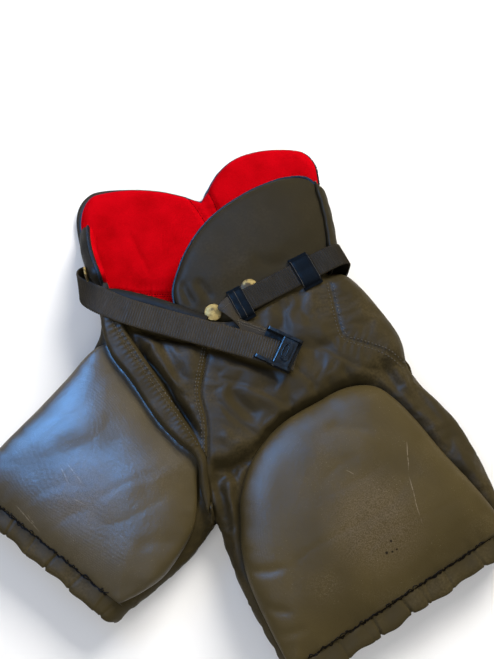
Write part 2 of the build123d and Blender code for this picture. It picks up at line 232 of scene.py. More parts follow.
def fill(rim, step, rows):
    """Triangles inside a plan outline: its rim, rows that follow the rim, and an even grid further in."""
    ahead = np.roll(rim, -1, 0)
    if (rim[:, 0] * ahead[:, 1] - ahead[:, 0] * rim[:, 1]).sum() < 0:
        rim = rim[::-1]
    way = unit(np.roll(rim, -1, 0) - np.roll(rim, 1, 0))
    inward = np.column_stack([-way[:, 1], way[:, 0]])
    found = [rim]
    for depth in rows:
        row = rim + inward * depth
        keep = (nearest(row, rim, True)[0] > depth * 0.97) & within(row, rim)
        found.append(row[keep])
    low, high = rim.min(0), rim.max(0)
    ys = np.arange(low[1], high[1], step * 0.866)
    xs = np.arange(low[0], high[0], step)
    grid = np.array([(x + step / 2 * (i % 2), y) for i, y in enumerate(ys) for x in xs])
    grid = grid[within(grid, rim)]
    found.append(grid[nearest(grid, rim, True)[0] > rows[-1] + step * 0.6])
    plan = np.vstack(found)
    edges = [(i, (i + 1) % len(rim)) for i in range(len(rim))]
    spots, _, faces, *_ = delaunay_2d_cdt([Vector(p) for p in plan], edges, [], 1, 1e-6)
    return np.array([tuple(p) for p in spots]), np.array([f[:3] for f in faces]), len(rim)


RIM_ROWS = (0.3, 1.0, 2.2, 4.0, 6.5)


def pillow(name, rim, top, bottom, step=3.0, rows=RIM_ROWS, where=placed):
    """A closed padded form of two skins that meet at the rim.

    Each height comes from the plan point and its distance from the rim.
    """
    plan, faces, edge = fill(rim, step, rows)
    far = nearest(plan, rim, True)[0]
    far[:edge] = 0
    high, low = top(plan, far), bottom(plan, far)
    high[:edge] = (high[:edge] + low[:edge]) / 2
    upper = np.column_stack([plan, high])
    lower = np.column_stack([plan[edge:], low[edge:]])
    other = np.arange(len(plan))
    other[edge:] += len(plan) - edge
    faces = np.vstack([faces, other[faces][:, ::-1]])
    return face_out(mesh_object(name, np.vstack([upper, lower]), faces, where))


def swept(name, centres, sides, ups, section, where=placed):
    """A closed section carried along a path.

    section holds (across, up) pairs, or is a function of the row's number.
    """
    rows = []
    for index, (centre, side, up) in enumerate(zip(centres, sides, ups)):
        pairs = section(index) if callable(section) else section
        rows.append([centre + a * side + b * up for a, b in pairs])
    points = np.array(rows)
    count, around = points.shape[:2]
    faces = []
    for i in range(count - 1):
        for j in range(around):
            k = (j + 1) % around
            faces.append((i * around + j, i * around + k, (i + 1) * around + k, (i + 1) * around + j))
    faces.append(tuple(range(around))[::-1])
    faces.append(tuple(range((count - 1) * around, count * around)))
    return face_out(mesh_object(name, points.reshape(-1, 3), faces, where))


def frames(path):
    """Along and sideways directions of a path whose sideways directions stay level."""
    along = unit(np.gradient(path, axis=0))
    side = np.cross(along, (0, 0, 1))
    length = np.linalg.norm(side, axis=1)[:, None]
    side = side / np.maximum(length, 1e-6)
    return along, side


def tube(name, path, radius, ripple=0.0, seed=0, where=placed):
    """A piping cord with a wrinkled skin."""
    along, side = frames(path)
    up = np.cross(side, along)
    rng = np.random.default_rng(seed)
    wobble = 1 + ripple * np.convolve(rng.uniform(-1, 1, len(path) + 4), [0.25] * 4, "same")[2:-2]
    turns = [2 * math.pi * k / 10 for k in range(10)]

    def section(i):
        return [(radius * wobble[i] * math.cos(t), radius * wobble[i] * math.sin(t)) for t in turns]

    return swept(name, path, side, up, section, where=where)


def strap(name, path, width, thickness, pitch=2.4, rib=0.28, step=0.48):
    """Webbing along a path of (x, y, z) and the direction across it, with ribs and a thin selvedge."""
    line = curve(path, step)
    line, across = line[:, :3], line[:, 3:]
    along = unit(np.gradient(line, axis=0))
    across = unit(across - (across * along).sum(1)[:, None] * along)
    up = np.cross(across, along)
    travel = travelled(line)
    half = width / 2
    places = (-1, -0.94, -0.8, -0.4, 0, 0.4, 0.8, 0.94, 1)

    def section(i):
        wave = rib * math.sin(2 * math.pi * travel[i] / pitch)
        edge = 0.25 * math.sin(2 * math.pi * travel[i] / pitch + 1)
        top = []
        for p in places:
            rim = abs(p) == 1
            top.append((p * (half + (edge if rim else 0)), (thickness / 2 + wave) * (1 - 0.75 * rim)))
        return top + [(a, -b) for a, b in top[::-1]]

    return swept(name, line, across, up, section)


def crumple(thing, pinned, cap, grow=0.016, frames_run=16):
    """Lets the cloth grow a little between its pinned points, so that it wrinkles, and applies the result."""
    group = thing.vertex_groups.new(name="pinned")
    for index, weight in enumerate(pinned):
        if weight > 0:
            group.add([index], float(weight), "REPLACE")
    cloth = thing.modifiers.new("Cloth", "CLOTH")
    settings = cloth.settings
    settings.quality = 5
    settings.mass = 0.15
    settings.tension_stiffness = settings.compression_stiffness = 15
    settings.bending_stiffness = 2.5
    settings.shrink_min = -grow
    settings.vertex_group_mass = "pinned"
    settings.effector_weights.gravity = 0
    cloth.collision_settings.use_collision = False
    scene = bpy.context.scene
    for number in range(1, frames_run + 1):
        scene.frame_set(number)
    settled = thing.evaluated_get(bpy.context.evaluated_depsgraph_get())
    moved = np.array([v.co for v in settled.data.vertices])
    rest = np.array([v.co for v in thing.data.vertices])
    thing.modifiers.remove(cloth)
    thing.vertex_groups.remove(group)
    scene.frame_set(1)
    shift = moved - rest
    size = np.linalg.norm(shift, axis=1)[:, None]
    limit = cap * MM
    shift *= np.tanh(size / limit) * limit / np.maximum(size, 1e-9)
    after = rest + shift
    thing.data.vertices.foreach_set("co", after.astype(np.float32).ravel())
    thing.data.update()


def solid(thing, thickness):
    """Gives a single skin its thickness, inwards from the skin."""
    modifier = thing.modifiers.new("Solidify", "SOLIDIFY")
    modifier.thickness = thickness * MM
    modifier.offset = -1.0
    apply_modifiers(thing)


def apply_modifiers(thing):
    """Replaces a mesh by what its modifiers make of it."""
    settled = thing.evaluated_get(bpy.context.evaluated_depsgraph_get())
    mesh = bpy.data.meshes.new_from_object(settled)
    thing.modifiers.clear()
    thing.data = mesh


# ---- materials ----
def material(name, colour, rough, metallic=0.0, specular=0.5):
    """A Principled material with its node tree, ready for detail."""
    made = bpy.data.materials.new(name)
    made.use_nodes = True
    shader = made.node_tree.nodes["Principled BSDF"]
    shader.inputs["Base Color"].default_value = (*colour, 1)
    shader.inputs["Roughness"].default_value = rough
    shader.inputs["Metallic"].default_value = metallic
    shader.inputs["Specular IOR Level"].default_value = specular
    return made


class Nodes:
    """Short calls for building one material's nodes."""

    def __init__(self, made):
        self.tree = made.node_tree
        self.shader = self.tree.nodes["Principled BSDF"]
        self.where = self.node("ShaderNodeTexCoord").outputs["Object"]

    def node(self, kind, **values):
        made = self.tree.nodes.new(kind)
        for key, value in values.items():
            setattr(made, key, value)
        return made

    def link(self, source, target):
        self.tree.links.new(source, target)

    def put(self, value, socket):
        if isinstance(value, (int, float, tuple)):
            socket.default_value = value
        else:
            self.link(value, socket)

    def noise(self, size, detail=3.0, where=None, distortion=0.0):
        """Noise whose lumps are about size millimetres, from 0 to 1."""
        made = self.node("ShaderNodeTexNoise")
        made.inputs["Scale"].default_value = 1 / (size * MM)
        made.inputs["Detail"].default_value = detail
        made.inputs["Distortion"].default_value = distortion
        self.link(where or self.where, made.inputs["Vector"])
        return made.outputs["Fac"]

    def wave(self, pitch, direction, distortion=0.0, where=None):
        """Parallel ribs with a pitch in millimetres."""
        made = self.node("ShaderNodeTexWave", bands_direction=direction)
        made.inputs["Scale"].default_value = 0.314 / (pitch * MM)
        made.inputs["Distortion"].default_value = distortion
        self.link(where or self.where, made.inputs["Vector"])
        return made.outputs["Fac"]

    def math(self, operation, a, b=0.0, c=0.0):
        made = self.node("ShaderNodeMath", operation=operation)
        for value, socket in zip((a, b, c), made.inputs):
            self.put(value, socket)
        return made.outputs[0]

    def vector(self, operation, a, b=(0, 0, 0)):
        made = self.node("ShaderNodeVectorMath", operation=operation)
        self.put(a, made.inputs[0])
        self.put(b, made.inputs[1])
        return made.outputs["Value"] if operation in ("LENGTH", "DOT_PRODUCT") else made.outputs["Vector"]

    def span(self, value, low, high, to_low=0.0, to_high=1.0):
        """Maps a range onto another, clamped."""
        made = self.node("ShaderNodeMapRange")
        self.put(value, made.inputs["Value"])
        for key, number in (("From Min", low), ("From Max", high), ("To Min", to_low), ("To Max", to_high)):
            made.inputs[key].default_value = number
        return made.outputs["Result"]

    def mix(self, share, a, b):
        """One colour into another."""
        made = self.node("ShaderNodeMix", data_type="RGBA")
        self.put(share, made.inputs["Factor"])
        for value, socket in ((a, made.inputs[6]), (b, made.inputs[7])):
            self.put((*value, 1) if isinstance(value, tuple) else value, socket)
        return made.outputs[2]

    def bump(self, *layers):
        """Bumps in turn, each (height, strength, distance in millimetres)."""
        normal = None
        for height, strength, distance in layers:
            made = self.node("ShaderNodeBump")
            made.inputs["Strength"].default_value = strength
            made.inputs["Distance"].default_value = distance * MM
            self.link(height, made.inputs["Height"])
            if normal:
                self.link(normal, made.inputs["Normal"])
            normal = made.outputs["Normal"]
        self.link(normal, self.shader.inputs["Normal"])

    def colour(self, value):
        self.link(value, self.shader.inputs["Base Color"])

    def rough(self, value):
        self.link(value, self.shader.inputs["Roughness"])

    def spot(self, centre, inner, outer):
        """A round patch about a plan point: 1 within the inner radius and 0 past the outer."""
        at = placed([(*centre, 0)])[0]
        flat = self.vector("MULTIPLY", self.where, (1, 1, 0))
        far = self.vector("LENGTH", self.vector("SUBTRACT", flat, (float(at[0]), float(at[1]), 0.0)))
        return self.span(far, inner * MM, outer * MM, 1, 0)

    def scratch(self, start, end, width, bend=1.5):
        """A thin mark between two plan points, 0 to 1."""
        low, high = placed([(*start, 0)])[0], placed([(*end, 0)])[0]
        flat = self.vector("MULTIPLY", self.where, (1, 1, 0))
        waver = self.node("ShaderNodeTexNoise")
        waver.inputs["Scale"].default_value = 1 / (22 * MM)
        self.link(flat, waver.inputs["Vector"])
        drift = self.vector("SCALE", self.vector("SUBTRACT", waver.outputs["Color"], (0.5, 0.5, 0.5)))
        drift.node.inputs["Scale"].default_value = bend * 2 * MM
        here = self.vector("SUBTRACT", self.vector("ADD", flat, drift), (*low[:2], 0.0))
        length = float(np.linalg.norm(high - low))
        way = tuple(float(x) for x in (high - low) / length)
        along = self.vector("DOT_PRODUCT", here, way)
        sideways = self.vector("DOT_PRODUCT", here, (-way[1], way[0], 0.0))
        near = self.span(self.math("ABSOLUTE", sideways), width * 0.5 * MM, width * MM, 1, 0)
        rise, fall = self.span(along, 0, length * 0.2), self.span(along, length * 0.7, length, 1, 0)
        ends = self.math("MULTIPLY", rise, fall)
        broken = self.span(self.noise(3.0, 2), 0.35, 0.55)
        return self.math("MULTIPLY", self.math("MULTIPLY", near, ends), broken)


def weave(n, pitch):
    """A plain weave's height, 0 to 1, seen from any side."""
    one = n.math("MULTIPLY", n.wave(pitch, "X"), n.wave(pitch, "Y"))
    return n.math("ADD", one, n.math("MULTIPLY", n.wave(pitch, "Z"), 0.5))


def nylon_material(name, colour, worn, rough=(0.42, 0.62), specular=0.035):
    """Tightly woven nylon: a fine weave, soft crinkles, and a rubbed, slightly brown bloom."""
    made = material(name, colour, 0.5, specular=specular)
    n = Nodes(made)
    large, fine = n.noise(38, 4), n.noise(2.2, 4)
    rubbed = n.math("MULTIPLY", n.span(large, 0.4, 0.7), n.span(fine, 0.35, 0.7))
    n.colour(n.mix(rubbed, colour, worn))
    n.rough(n.span(n.math("ADD", n.noise(16, 3), n.math("MULTIPLY", fine, 0.3)), 0.4, 0.9, *rough))
    n.bump((weave(n, 0.7), 0.3, 0.08), (n.noise(5, 3, distortion=0.6), 0.35, 0.3), (n.noise(14, 2), 0.3, 0.6))
    return made


def pad_material(side):
    """Coated pad cloth: smooth and a little glossy, with rubbed patches, scratches and specks."""
    colour, worn = (0.054, 0.0405, 0.0150), (0.098, 0.076, 0.040)
    made = material(f"pad_cloth_{side}", colour, 0.45, specular=PAD_SHINE[side])
    n = Nodes(made)
    fine, grain = n.noise(1.1, 5), n.noise(0.5, 2)
    patch = n.span(n.noise(45, 3), 0.48, 0.72)
    rubbed = n.math("MULTIPLY", patch, n.span(fine, 0.45, 0.75))
    mark = n.math("MULTIPLY", n.span(n.noise(0.9, 1), 0.70, 0.76), n.span(n.noise(30, 2), 0.5, 0.6))
    for start, end, width in SCRATCHES[side]:
        mark = n.math("MAXIMUM", mark, n.scratch(start, end, width))
    tone = n.mix(n.span(n.noise(60, 2), 0.35, 0.65), colour, tuple(c * 1.25 for c in colour))
    body = n.mix(rubbed, tone, worn)
    centre, reach = SCUFFS[side]
    rubbed = n.math("MULTIPLY", n.spot(centre, reach * 0.4, reach), n.span(n.noise(1.0, 6), 0.38, 0.68))
    body = n.mix(n.math("MULTIPLY", rubbed, 0.45), body, (0.17, 0.128, 0.080))
    for place, size in STAINS[side]:
        body = n.mix(n.spot(place, size * 0.6, size), body, (0.012, 0.009, 0.004))
    n.colour(n.mix(n.math("MULTIPLY", mark, 0.6), body, (0.24, 0.20, 0.14)))
    n.rough(n.span(n.math("ADD", n.noise(20, 4), rubbed), 0.3, 1.1, 0.37, 0.50))
    dark_speck = n.math("MULTIPLY", n.span(n.noise(1.7, 1), 0.27, 0.22), n.span(n.noise(26, 2), 0.56, 0.6))
    n.bump((weave(n, 0.6), 0.45, 0.12), (grain, 0.6, 0.12), (n.noise(7, 5, distortion=0.8), 0.5, 0.4),
           (n.math("SUBTRACT", mark, dark_speck), -0.3, 0.1))
    return made


def liner_material():
    """Red brushed mesh over foam: dense short pile with a fine knit."""
    made = material("red_liner", (0.44, 0.001, 0.003), 0.85, specular=0.0)
    n = Nodes(made)
    shade = n.math("ADD", n.math("MULTIPLY", n.noise(26, 3), 0.6), n.math("MULTIPLY", n.noise(1.2, 3), 0.4))
    n.colour(n.mix(n.span(shade, 0.35, 0.65), (0.33, 0.0008, 0.003), (0.50, 0.0014, 0.006)))
    knit = n.math("MULTIPLY", n.wave(1.3, "X", 1.5), n.wave(1.3, "Y", 1.5))
    n.rough(n.span(n.noise(3, 3), 0.3, 0.7, 0.75, 0.95))
    n.bump((knit, 0.45, 0.2), (n.noise(0.8, 3), 0.5, 0.18), (n.noise(12, 2), 0.45, 0.8))
    return made


def webbing_material(name, colour, worn, specular=0.08):
    """Woven strap: yarn along it and slightly faded high spots."""
    made = material(name, colour, 0.62, specular=specular)
    n = Nodes(made)
    yarn = n.math("MULTIPLY", n.noise(0.6, 3), n.span(n.noise(14, 2), 0.2, 0.8, 0.7, 1.0))
    n.colour(n.mix(n.span(yarn, 0.25, 0.6), colour, worn))
    n.rough(n.span(n.noise(4, 3), 0.3, 0.7, 0.5, 0.75))
    n.bump((n.wave(0.9, "DIAGONAL", 0.4), 0.3, 0.12), (n.noise(0.5, 3), 0.4, 0.12))
    return made


def plastic_material(name, colour, rough, grain=0.6):
    """Moulded plastic: fine grain and rubbed, lighter scuffs."""
    made = material(name, colour, rough, specular=0.10)
    n = Nodes(made)
    marks, patches = n.noise(1.6, 5, distortion=1.2), n.noise(12, 2)
    scuff = n.math("MULTIPLY", n.span(marks, 0.55, 0.7), n.span(patches, 0.4, 0.6))
    n.colour(n.mix(scuff, colour, tuple(min(1.0, c * 2.4 + 0.01) for c in colour)))
    n.rough(n.span(n.noise(5, 4), 0.3, 0.7, rough - 0.08, rough + 0.15))
    n.bump((n.noise(grain, 2), 0.15, 0.06), (n.noise(9, 2), 0.1, 0.2))
    return made


def brass_material():
    """Worn brass, with dark brown patches of painted shade over part of it."""
    made = material("button_brass", (0.34, 0.25, 0.09), 0.5, metallic=0.05, specular=0.03)
    n = Nodes(made)
    # dark brown patches laid at random over each cap: painted shade for the cap's dark half, not a patina
    painted_shade = n.span(n.math("ADD", n.noise(11, 2), n.math("MULTIPLY", n.noise(1.2, 4), 0.12)), 0.52, 0.60)
    bright = n.mix(n.span(n.noise(2.5, 4), 0.4, 0.7), (0.36, 0.265, 0.095), (0.21, 0.15, 0.050))
    n.colour(n.mix(painted_shade, bright, (0.060, 0.043, 0.020)))
    n.rough(n.span(n.noise(1.5, 4), 0.3, 0.7, 0.46, 0.60))
    n.bump((n.noise(0.5, 3), 0.05, 0.03), (n.noise(3, 2), 0.06, 0.08))
    return made


def foam_material():
    """Open-cell foam."""
    made = material("foam", (0.30, 0.29, 0.26), 0.9, specular=0.2)
    n = Nodes(made)
    cells = n.node("ShaderNodeTexVoronoi")
    cells.inputs["Scale"].default_value = 1 / (1.4 * MM)
    n.link(n.where, cells.inputs["Vector"])
    n.colour(n.mix(n.span(n.noise(10, 3), 0.3, 0.7), (0.24, 0.23, 0.20), (0.36, 0.35, 0.31)))
    n.rough(n.span(n.noise(4, 2), 0.3, 0.7, 0.85, 0.98))
    n.bump((cells.outputs["Distance"], 0.5, 0.3))
    return made


def floor_material():
    """Plain pale studio floor."""
    made = material("studio_floor", (0.90, 0.90, 0.90), 0.8, specular=0.2)
    n = Nodes(made)
    n.colour(n.mix(n.noise(300, 2), (0.89, 0.90, 0.91), (0.91, 0.91, 0.92)))
    return made


SCRATCHES = {
    "left": [((172, 68), (172, 37), 0.45), ((172, 37), (182, -6), 0.45), ((115, 42), (126, 37), 0.3)],
    "right": [((-139, 46), (-130, 28), 0.6), ((-134, 49), (-117, 28), 0.6), ((-179, 12), (-156, -12), 0.6),
              ((-168, 4), (-161, -5), 0.5), ((-126, 17), (-115, 12), 0.4)],
}
PAD_SHINE = {"left": 0.07, "right": 0.22}
SCUFFS = {"left": ((140, -4), 52), "right": ((-118, 22), 42)}
STAINS = {"left": [((154, -20), 1.3), ((155, -29), 1.2), ((150, -30), 1.6), ((159, -27), 1.1)], "right": []}
CLOTH = nylon_material("shell_nylon", (0.034, 0.0262, 0.0112), (0.064, 0.0485, 0.0215))
CUFF_CLOTH = nylon_material("hem_nylon", (0.043, 0.0335, 0.0145), (0.074, 0.0570, 0.0260))
LOBE_CLOTH = nylon_material("hip_nylon", (0.026, 0.0215, 0.0115), (0.038, 0.0310, 0.0170), (0.45, 0.6), 0.018)
DARK_CLOTH = nylon_material("dark_nylon", (0.014, 0.012, 0.008), (0.030, 0.025, 0.016))
PAD_CLOTH = {side: pad_material(side) for side in ("left", "right")}
RED = liner_material()
WEBBING = webbing_material("webbing", (0.022, 0.0178, 0.0105), (0.048, 0.0390, 0.0240), 0.035)
DARK_WEBBING = webbing_material("webbing_left", (0.012, 0.0098, 0.0060), (0.028, 0.0230, 0.0145), 0.025)
LOOP_WEB = webbing_material("loop_webbing", (0.002, 0.003, 0.005), (0.006, 0.008, 0.011), 0.02)
BINDING = webbing_material("binding", (0.003, 0.004, 0.006), (0.009, 0.010, 0.014), 0.14)
THREAD = webbing_material("thread", (0.040, 0.035, 0.026), (0.110, 0.096, 0.070))
DARK_THREAD = webbing_material("dark_thread", (0.005, 0.004, 0.003), (0.014, 0.011, 0.007), 0.03)
RED_THREAD = webbing_material("red_thread", (0.07, 0.0006, 0.002), (0.13, 0.002, 0.004), 0.0)
BUCKLE = plastic_material("buckle_plastic", (0.008, 0.009, 0.010), 0.30)
GUARD = plastic_material("guard_plastic", (0.55, 0.55, 0.52), 0.4)
STEEL = plastic_material("steel_pin", (0.25, 0.25, 0.25), 0.35)
BRASS = brass_material()
FOAM = foam_material()
FUZZ = webbing_material("hook_and_loop", (0.012, 0.012, 0.012), (0.05, 0.05, 0.05))


def finish_piece(thing, look, body=None, stands_for=()):
    """Gives a piece its material in a single slot, hides the CAD parts that it stands for, and hangs it on
    the body that it rides on.
    """
    thing.data.materials.clear()
    thing.data.materials.append(look)
    if stands_for:
        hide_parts(*stands_for)
    if body:
        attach(thing, body)
    return thing


# ---- the fold at each hip ----
def fold_frame(side):
    """A plan point on a leg's fold line and the plan direction from it down the leg."""
    joint = JOINTS[f"hip_fold_{side}"]
    axis = np.array(joint["axis"][:2])
    down = np.array([axis[1], -axis[0]])
    if down[1] > 0:
        down = -down
    return planned(joint["pos_m"])[:2], down / np.linalg.norm(down)


FOLD_LENGTH = 48.0               # how far down the leg bend works out an end point, which nothing uses


def past_fold(side, plan):
    """How far each plan point is down the leg from its fold line."""
    at, down = fold_frame(side)
    return (plan - at) @ down


def bend(thing, side):
    """Bakes a piece's transform into its mesh; the ends of the leg's fold are worked out but not used."""
    at, down = fold_frame(side)
    start = placed([(*at, 0)])[0]
    end = placed([(*(at + down * FOLD_LENGTH), 0)])[0]
    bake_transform(thing)


# ---- outlines ----
CENTRE = [(-9, 183), (-9, 154), (-15, 116), (-9, 88), (-8, 60), (-8, 46), (-5, 20), (0, -2)]
WAIST_LEFT = [(109, 237), (60, 208), (18, 184), (-9, 183)]
WAIST_RIGHT = [(-9, 183), (-40, 197), (-104, 214), (-121, 214)]
SEAT_LEFT = [(109, 237), (112, 258), (60, 236), (-9, 198), (-9, 183)]
SEAT_RIGHT = [(-9, 183), (-9, 198), (-60, 200), (-121, 214)]
SIDES = {
    "left": {
        "inner": [(0, -2), (3, -8), (9, -24), (17, -48), (30, -73), (42, -96), (60, -124)],
        "hem": [(60, -124), (262, 2)],
        "outer": [(262, 2), (257, 28), (245, 55), (229, 87), (210, 111), (190, 134), (181, 157), (173, 177),
                  (155, 201), (137, 225), (124, 236), (109, 237)],
        "pad": [(22, -3), (22, 21), (31, 50), (47, 74), (67, 92), (95, 108), (113, 118), (132, 123),
                (150, 121),
                (168, 108), (186, 88), (207, 61), (229, 36), (247, 14), (256, -1)],
        "pad_end": [(256, -1), (256, -8), (250, -14), (76, -121), (68, -124), (62, -120)],
        "pad_inner": [(62, -120), (50, -98), (38, -74), (28, -50), (23, -26), (22, -3)],
        "cuff": (1.5, 24.0),
        "cuff_cut": (0.050, 0.54),
        "shell_cut": (0.56, 0.40, 0.148),
    },
    "right": {
        "inner": [(0, -2), (-9, -14), (-19, -27), (-33, -42), (-55, -61), (-79, -78)],
        "hem": [(-79, -78), (-228, 37)],
        "outer": [(-228, 37), (-213, 55), (-191, 78), (-165, 106), (-139, 135), (-124, 155), (-117, 172),
                  (-116, 193), (-121, 214)],
        "pad": [(-17, 8), (-17, 34), (-18, 56), (-34, 84), (-56, 115), (-76, 145), (-92, 163), (-110, 162),
                (-124, 151), (-140, 130), (-165, 101), (-191, 73), (-212, 50), (-222, 38)],
        "pad_end": [(-222, 38), (-221, 32), (-216, 27), (-90, -69), (-84, -72), (-78, -70)],
        "pad_inner": [(-78, -70), (-66, -64), (-46, -50), (-30, -28), (-20, -8), (-17, 8)],
        "cuff": (-7.5, 25.0),
        "cuff_cut": (0.052, 0.45),
        "shell_cut": (0.46, 0.30, 0.094),
    },
}
GROIN_EDGE = [(-121, 212), (-114, 191), (-107, 172), (-88, 136), (-66, 104), (-40, 74), (-20, 54),
              (-12, 38), (-8, 20)]
GROIN_SEAM = [(-100, 192), (-92, 173), (-70, 141), (-48, 111), (-30, 88), (-15, 66)]
ROLL_OUTER = [(-110, 194), (-110, 178), (-100, 151), (-82, 128), (-65, 103), (-51, 84), (-35, 68), (-23, 59),
              (-17, 48), (-15, 30), (-10, 12), (-6, 4)]
ROLL_INNER = [(-6, 4), (-5, 18), (-7, 40), (-9, 56), (-17, 72), (-29, 90), (-42, 109), (-53, 127), (-64, 143),
              (-80, 166), (-90, 186), (-100, 198), (-110, 194)]
YOKE = [(107, 222), (112, 195), (117, 172), (122, 166), (138, 161), (157, 154), (179, 141)]
CENTRE_LINE = curve(CENTRE)
PAD_RIM = {side: outline(s["pad"], s["pad_end"], s["pad_inner"], step=2.5) for side, s in SIDES.items()}
SIDE_ROUND = 21.0                # radius of the garment's rounded sides
PAD_SEAT = 45.0                  # height of the seam round a thigh pad

LEFT_FOLDS = [
    (3.0, 9, [(-6, 160), (10, 150), (37, 137), (60, 128)]),
    (-4.0, 6, [(8, 120), (22, 104), (42, 88)]),
    (2.5, 9, [(18, 128), (40, 112), (64, 104)]),
    (-2.5, 4, [(100, 128), (107, 120), (111, 113)]),
    (-2.2, 3.5, [(114, 140), (122, 131), (126, 122)]),
    (-2.0, 3.5, [(84, 122), (92, 116), (97, 107)]),
    (-2.2, 3.5, [(62, 112), (70, 104), (74, 95)]),
    (-3.0, 5, [(147, 156), (156, 143), (166, 126), (176, 108)]),
    (2.5, 7, [(158, 152), (172, 134), (186, 112)]),
    (-2.5, 4, [(174, 142), (186, 122), (200, 100), (216, 78)]),
    (-2.0, 5, [(60, 160), (92, 158), (112, 160)]),
    (2.2, 10, [(60, 176), (92, 172), (112, 168)]),
    (-9.0, 8, [(-30, 172), (0, 160), (24, 148), (52, 138), (70, 132)]),
    (-10.0, 6, [(-12, 46), (2, 46), (20, 50), (38, 60)]),
    (-5.0, 4, [(-6, 42), (2, 36), (12, 40), (22, 48)]),
    (-5.0, 3.5, [(-3, 40), (4, 22), (9, 4), (14, -20)]),
    (3.5, 5, [(0, 46), (10, 36), (15, 14), (18, -8)]),
    (-3.0, 3.5, [(14, 44), (19, 30), (18, 12)]),
    (2.0, 6, [(4, 80), (16, 68), (28, 74)]),
]
RIGHT_FOLDS = [
    (3.5, 8, [(-90, 182), (-66, 148), (-44, 118), (-24, 92)]),
    (-10.0, 7, [(-106, 194), (-88, 186), (-63, 175), (-34, 168), (-8, 162), (16, 152)]),
    (-16.0, 4.5, [(-88, 186), (-74, 160), (-58, 138), (-46, 121), (-35, 103), (-23, 84), (-8, 60)]),
    (-3.0, 5, [(-60, 176), (-44, 146), (-26, 118)]),
    (2.5, 6, [(-70, 176), (-46, 138), (-30, 112)]),
    (-2.5, 6, [(-62, 176), (-38, 166), (-18, 160)]),
    (2.0, 8, [(-40, 186), (-24, 150), (-24, 120)]),
    (3.2, 6, [(-104, 190), (-90, 156), (-62, 116), (-38, 84), (-22, 64)]),
    (-5.0, 4, [(-12, 56), (-9, 36), (-6, 16)]),
    (3.0, 4, [(-16, 52), (-14, 34), (-12, 14)]),
    (-4.0, 3.5, [(-21, 50), (-18, 32), (-20, 8)]),
    (-2.5, 4, [(-14, -6), (-26, -24), (-42, -40)]),
]
PAD_FOLDS = {
    "left": [(-1.5, 4, [(22, -45), (42, -46), (66, -42)]), (-1.5, 4, [(32, -72), (50, -78), (72, -80)]),
             (-1.3, 4, [(44, -100), (62, -98), (84, -92)]), (-1.0, 5, [(96, 82), (120, 80), (146, 76)]),
             (1.0, 14, [(60, 40), (110, 60), (170, 50)]), (-1.0, 14, [(120, -60), (160, -30), (200, -10)])],
    "right": [(-0.6, 14, [(-196, 62), (-160, 40), (-150, 10)]),
              (1.0, 16, [(-170, 60), (-130, 80), (-96, 110)]),
              (-0.8, 12, [(-150, 70), (-110, 60), (-70, 84)]),
              (1.0, 14, [(-90, 20), (-60, 40), (-40, 20)]),
              (-1.0, 6, [(-30, -24), (-50, -20), (-74, -28)]),
              (-0.8, 14, [(-160, 0), (-110, 0), (-70, -30)])],
}


# ---- shell: the torso and leg of each side, as one hollow skin from the waist to the hem ----
def round_sides(side, plan):
    """Each plan point's distance from the seams where front and back meet."""
    inner, _, outer = shell_runs(side)
    return np.minimum(*(nearest(plan, curve(seam))[0] for seam in (inner, outer)))


def shell_runs(side):
    """The inseam, the end inside the cuff and the outseam of a leg's shell."""
    s = SIDES[side]
    down = hem_frame(side)[1]
    hem = [tuple(np.array(p) + down * 4) for p in s["hem"]]
    return s["inner"][:-1] + [hem[0]], hem, [hem[1]] + s["outer"][1:]


def ruffled(plan, side):
    """Fine all-over cloth wrinkles."""
    turn = -35 if side == "left" else 50
    return (1.3 * bumps(plan, 38, 3) + 0.3 * bumps(plan, 13, 4) + 1.6 * creases(plan, 34, 5, (2.6, 1), turn)
            + 0.4 * creases(plan, 17, 6, (2.2, 1), turn + 55))


def front_height(side, plan):
    """Height of the front skin."""
    past = past_fold(side, plan)
    base = TORSO_TOP - (TORSO_TOP - LEG_TOP - 1) * smooth((past + 2) / 20)
    if side == "right":
        off, _, left_of = nearest(plan, curve(GROIN_EDGE))
        signed = off * left_of
        base = LEG_TOP - 4 + (TORSO_TOP - LEG_TOP + 4) * smooth((signed - 3) / 8)
    pad_off = nearest(plan, PAD_RIM[side], True)[0]
    under_pad = within(plan, PAD_RIM[side])
    far = round_sides(side, plan)
    height = MIDDLE + (base - MIDDLE) * crown(far, SIDE_ROUND, 2.2)
    loose = smooth(far / 12) * smooth(pad_off / 5) * ~under_pad
    height += ruffled(plan, side) * loose
    height += folds(plan, LEFT_FOLDS if side == "left" else RIGHT_FOLDS) * smooth(far / 3)
    gather = 0.9 * bumps(np.column_stack([nearest(plan, PAD_RIM[side], True)[1], pad_off]), 5.5, 8, (1, 3))
    outside = ~under_pad * np.exp(-(pad_off / 9) ** 2) * smooth(far / 10)
    height += gather * outside
    dip = (height - PAD_SEAT + 1) * np.exp(-(pad_off / 4.5) ** 2)
    height -= np.maximum(dip, 0) * np.where(under_pad, 0, 0.85) * smooth(far / 6)
    height = np.where(under_pad, np.minimum(height, PAD_SEAT - 1.5), height)
    height += seam_dip(plan, CENTRE_LINE, 2.2, 2.0, 0.5)
    if side == "left":
        height += seam_dip(plan, curve(YOKE), 1.6, 1.8, 0.4, seed=2)
    return height


def back_height(side, plan):
    """Height of the back skin, which lies on the floor below the seat padding."""
    past = past_fold(side, plan)
    base = SEAT_LOW * (1 - smooth((past + 8) / 20)) + 0.4
    far = round_sides(side, plan)
    lift = np.abs(bumps(plan, 36, 13)) * 1.6 - creases(plan, 24, 14, (2.5, 1), 20) * 1.2
    height = base + lift * smooth(far / 16) + (MIDDLE - base) * (1 - crown(far, SIDE_ROUND, 2.2))
    return height - np.minimum(seam_dip(plan, CENTRE_LINE, -2.0, 2.0, 0), 0)


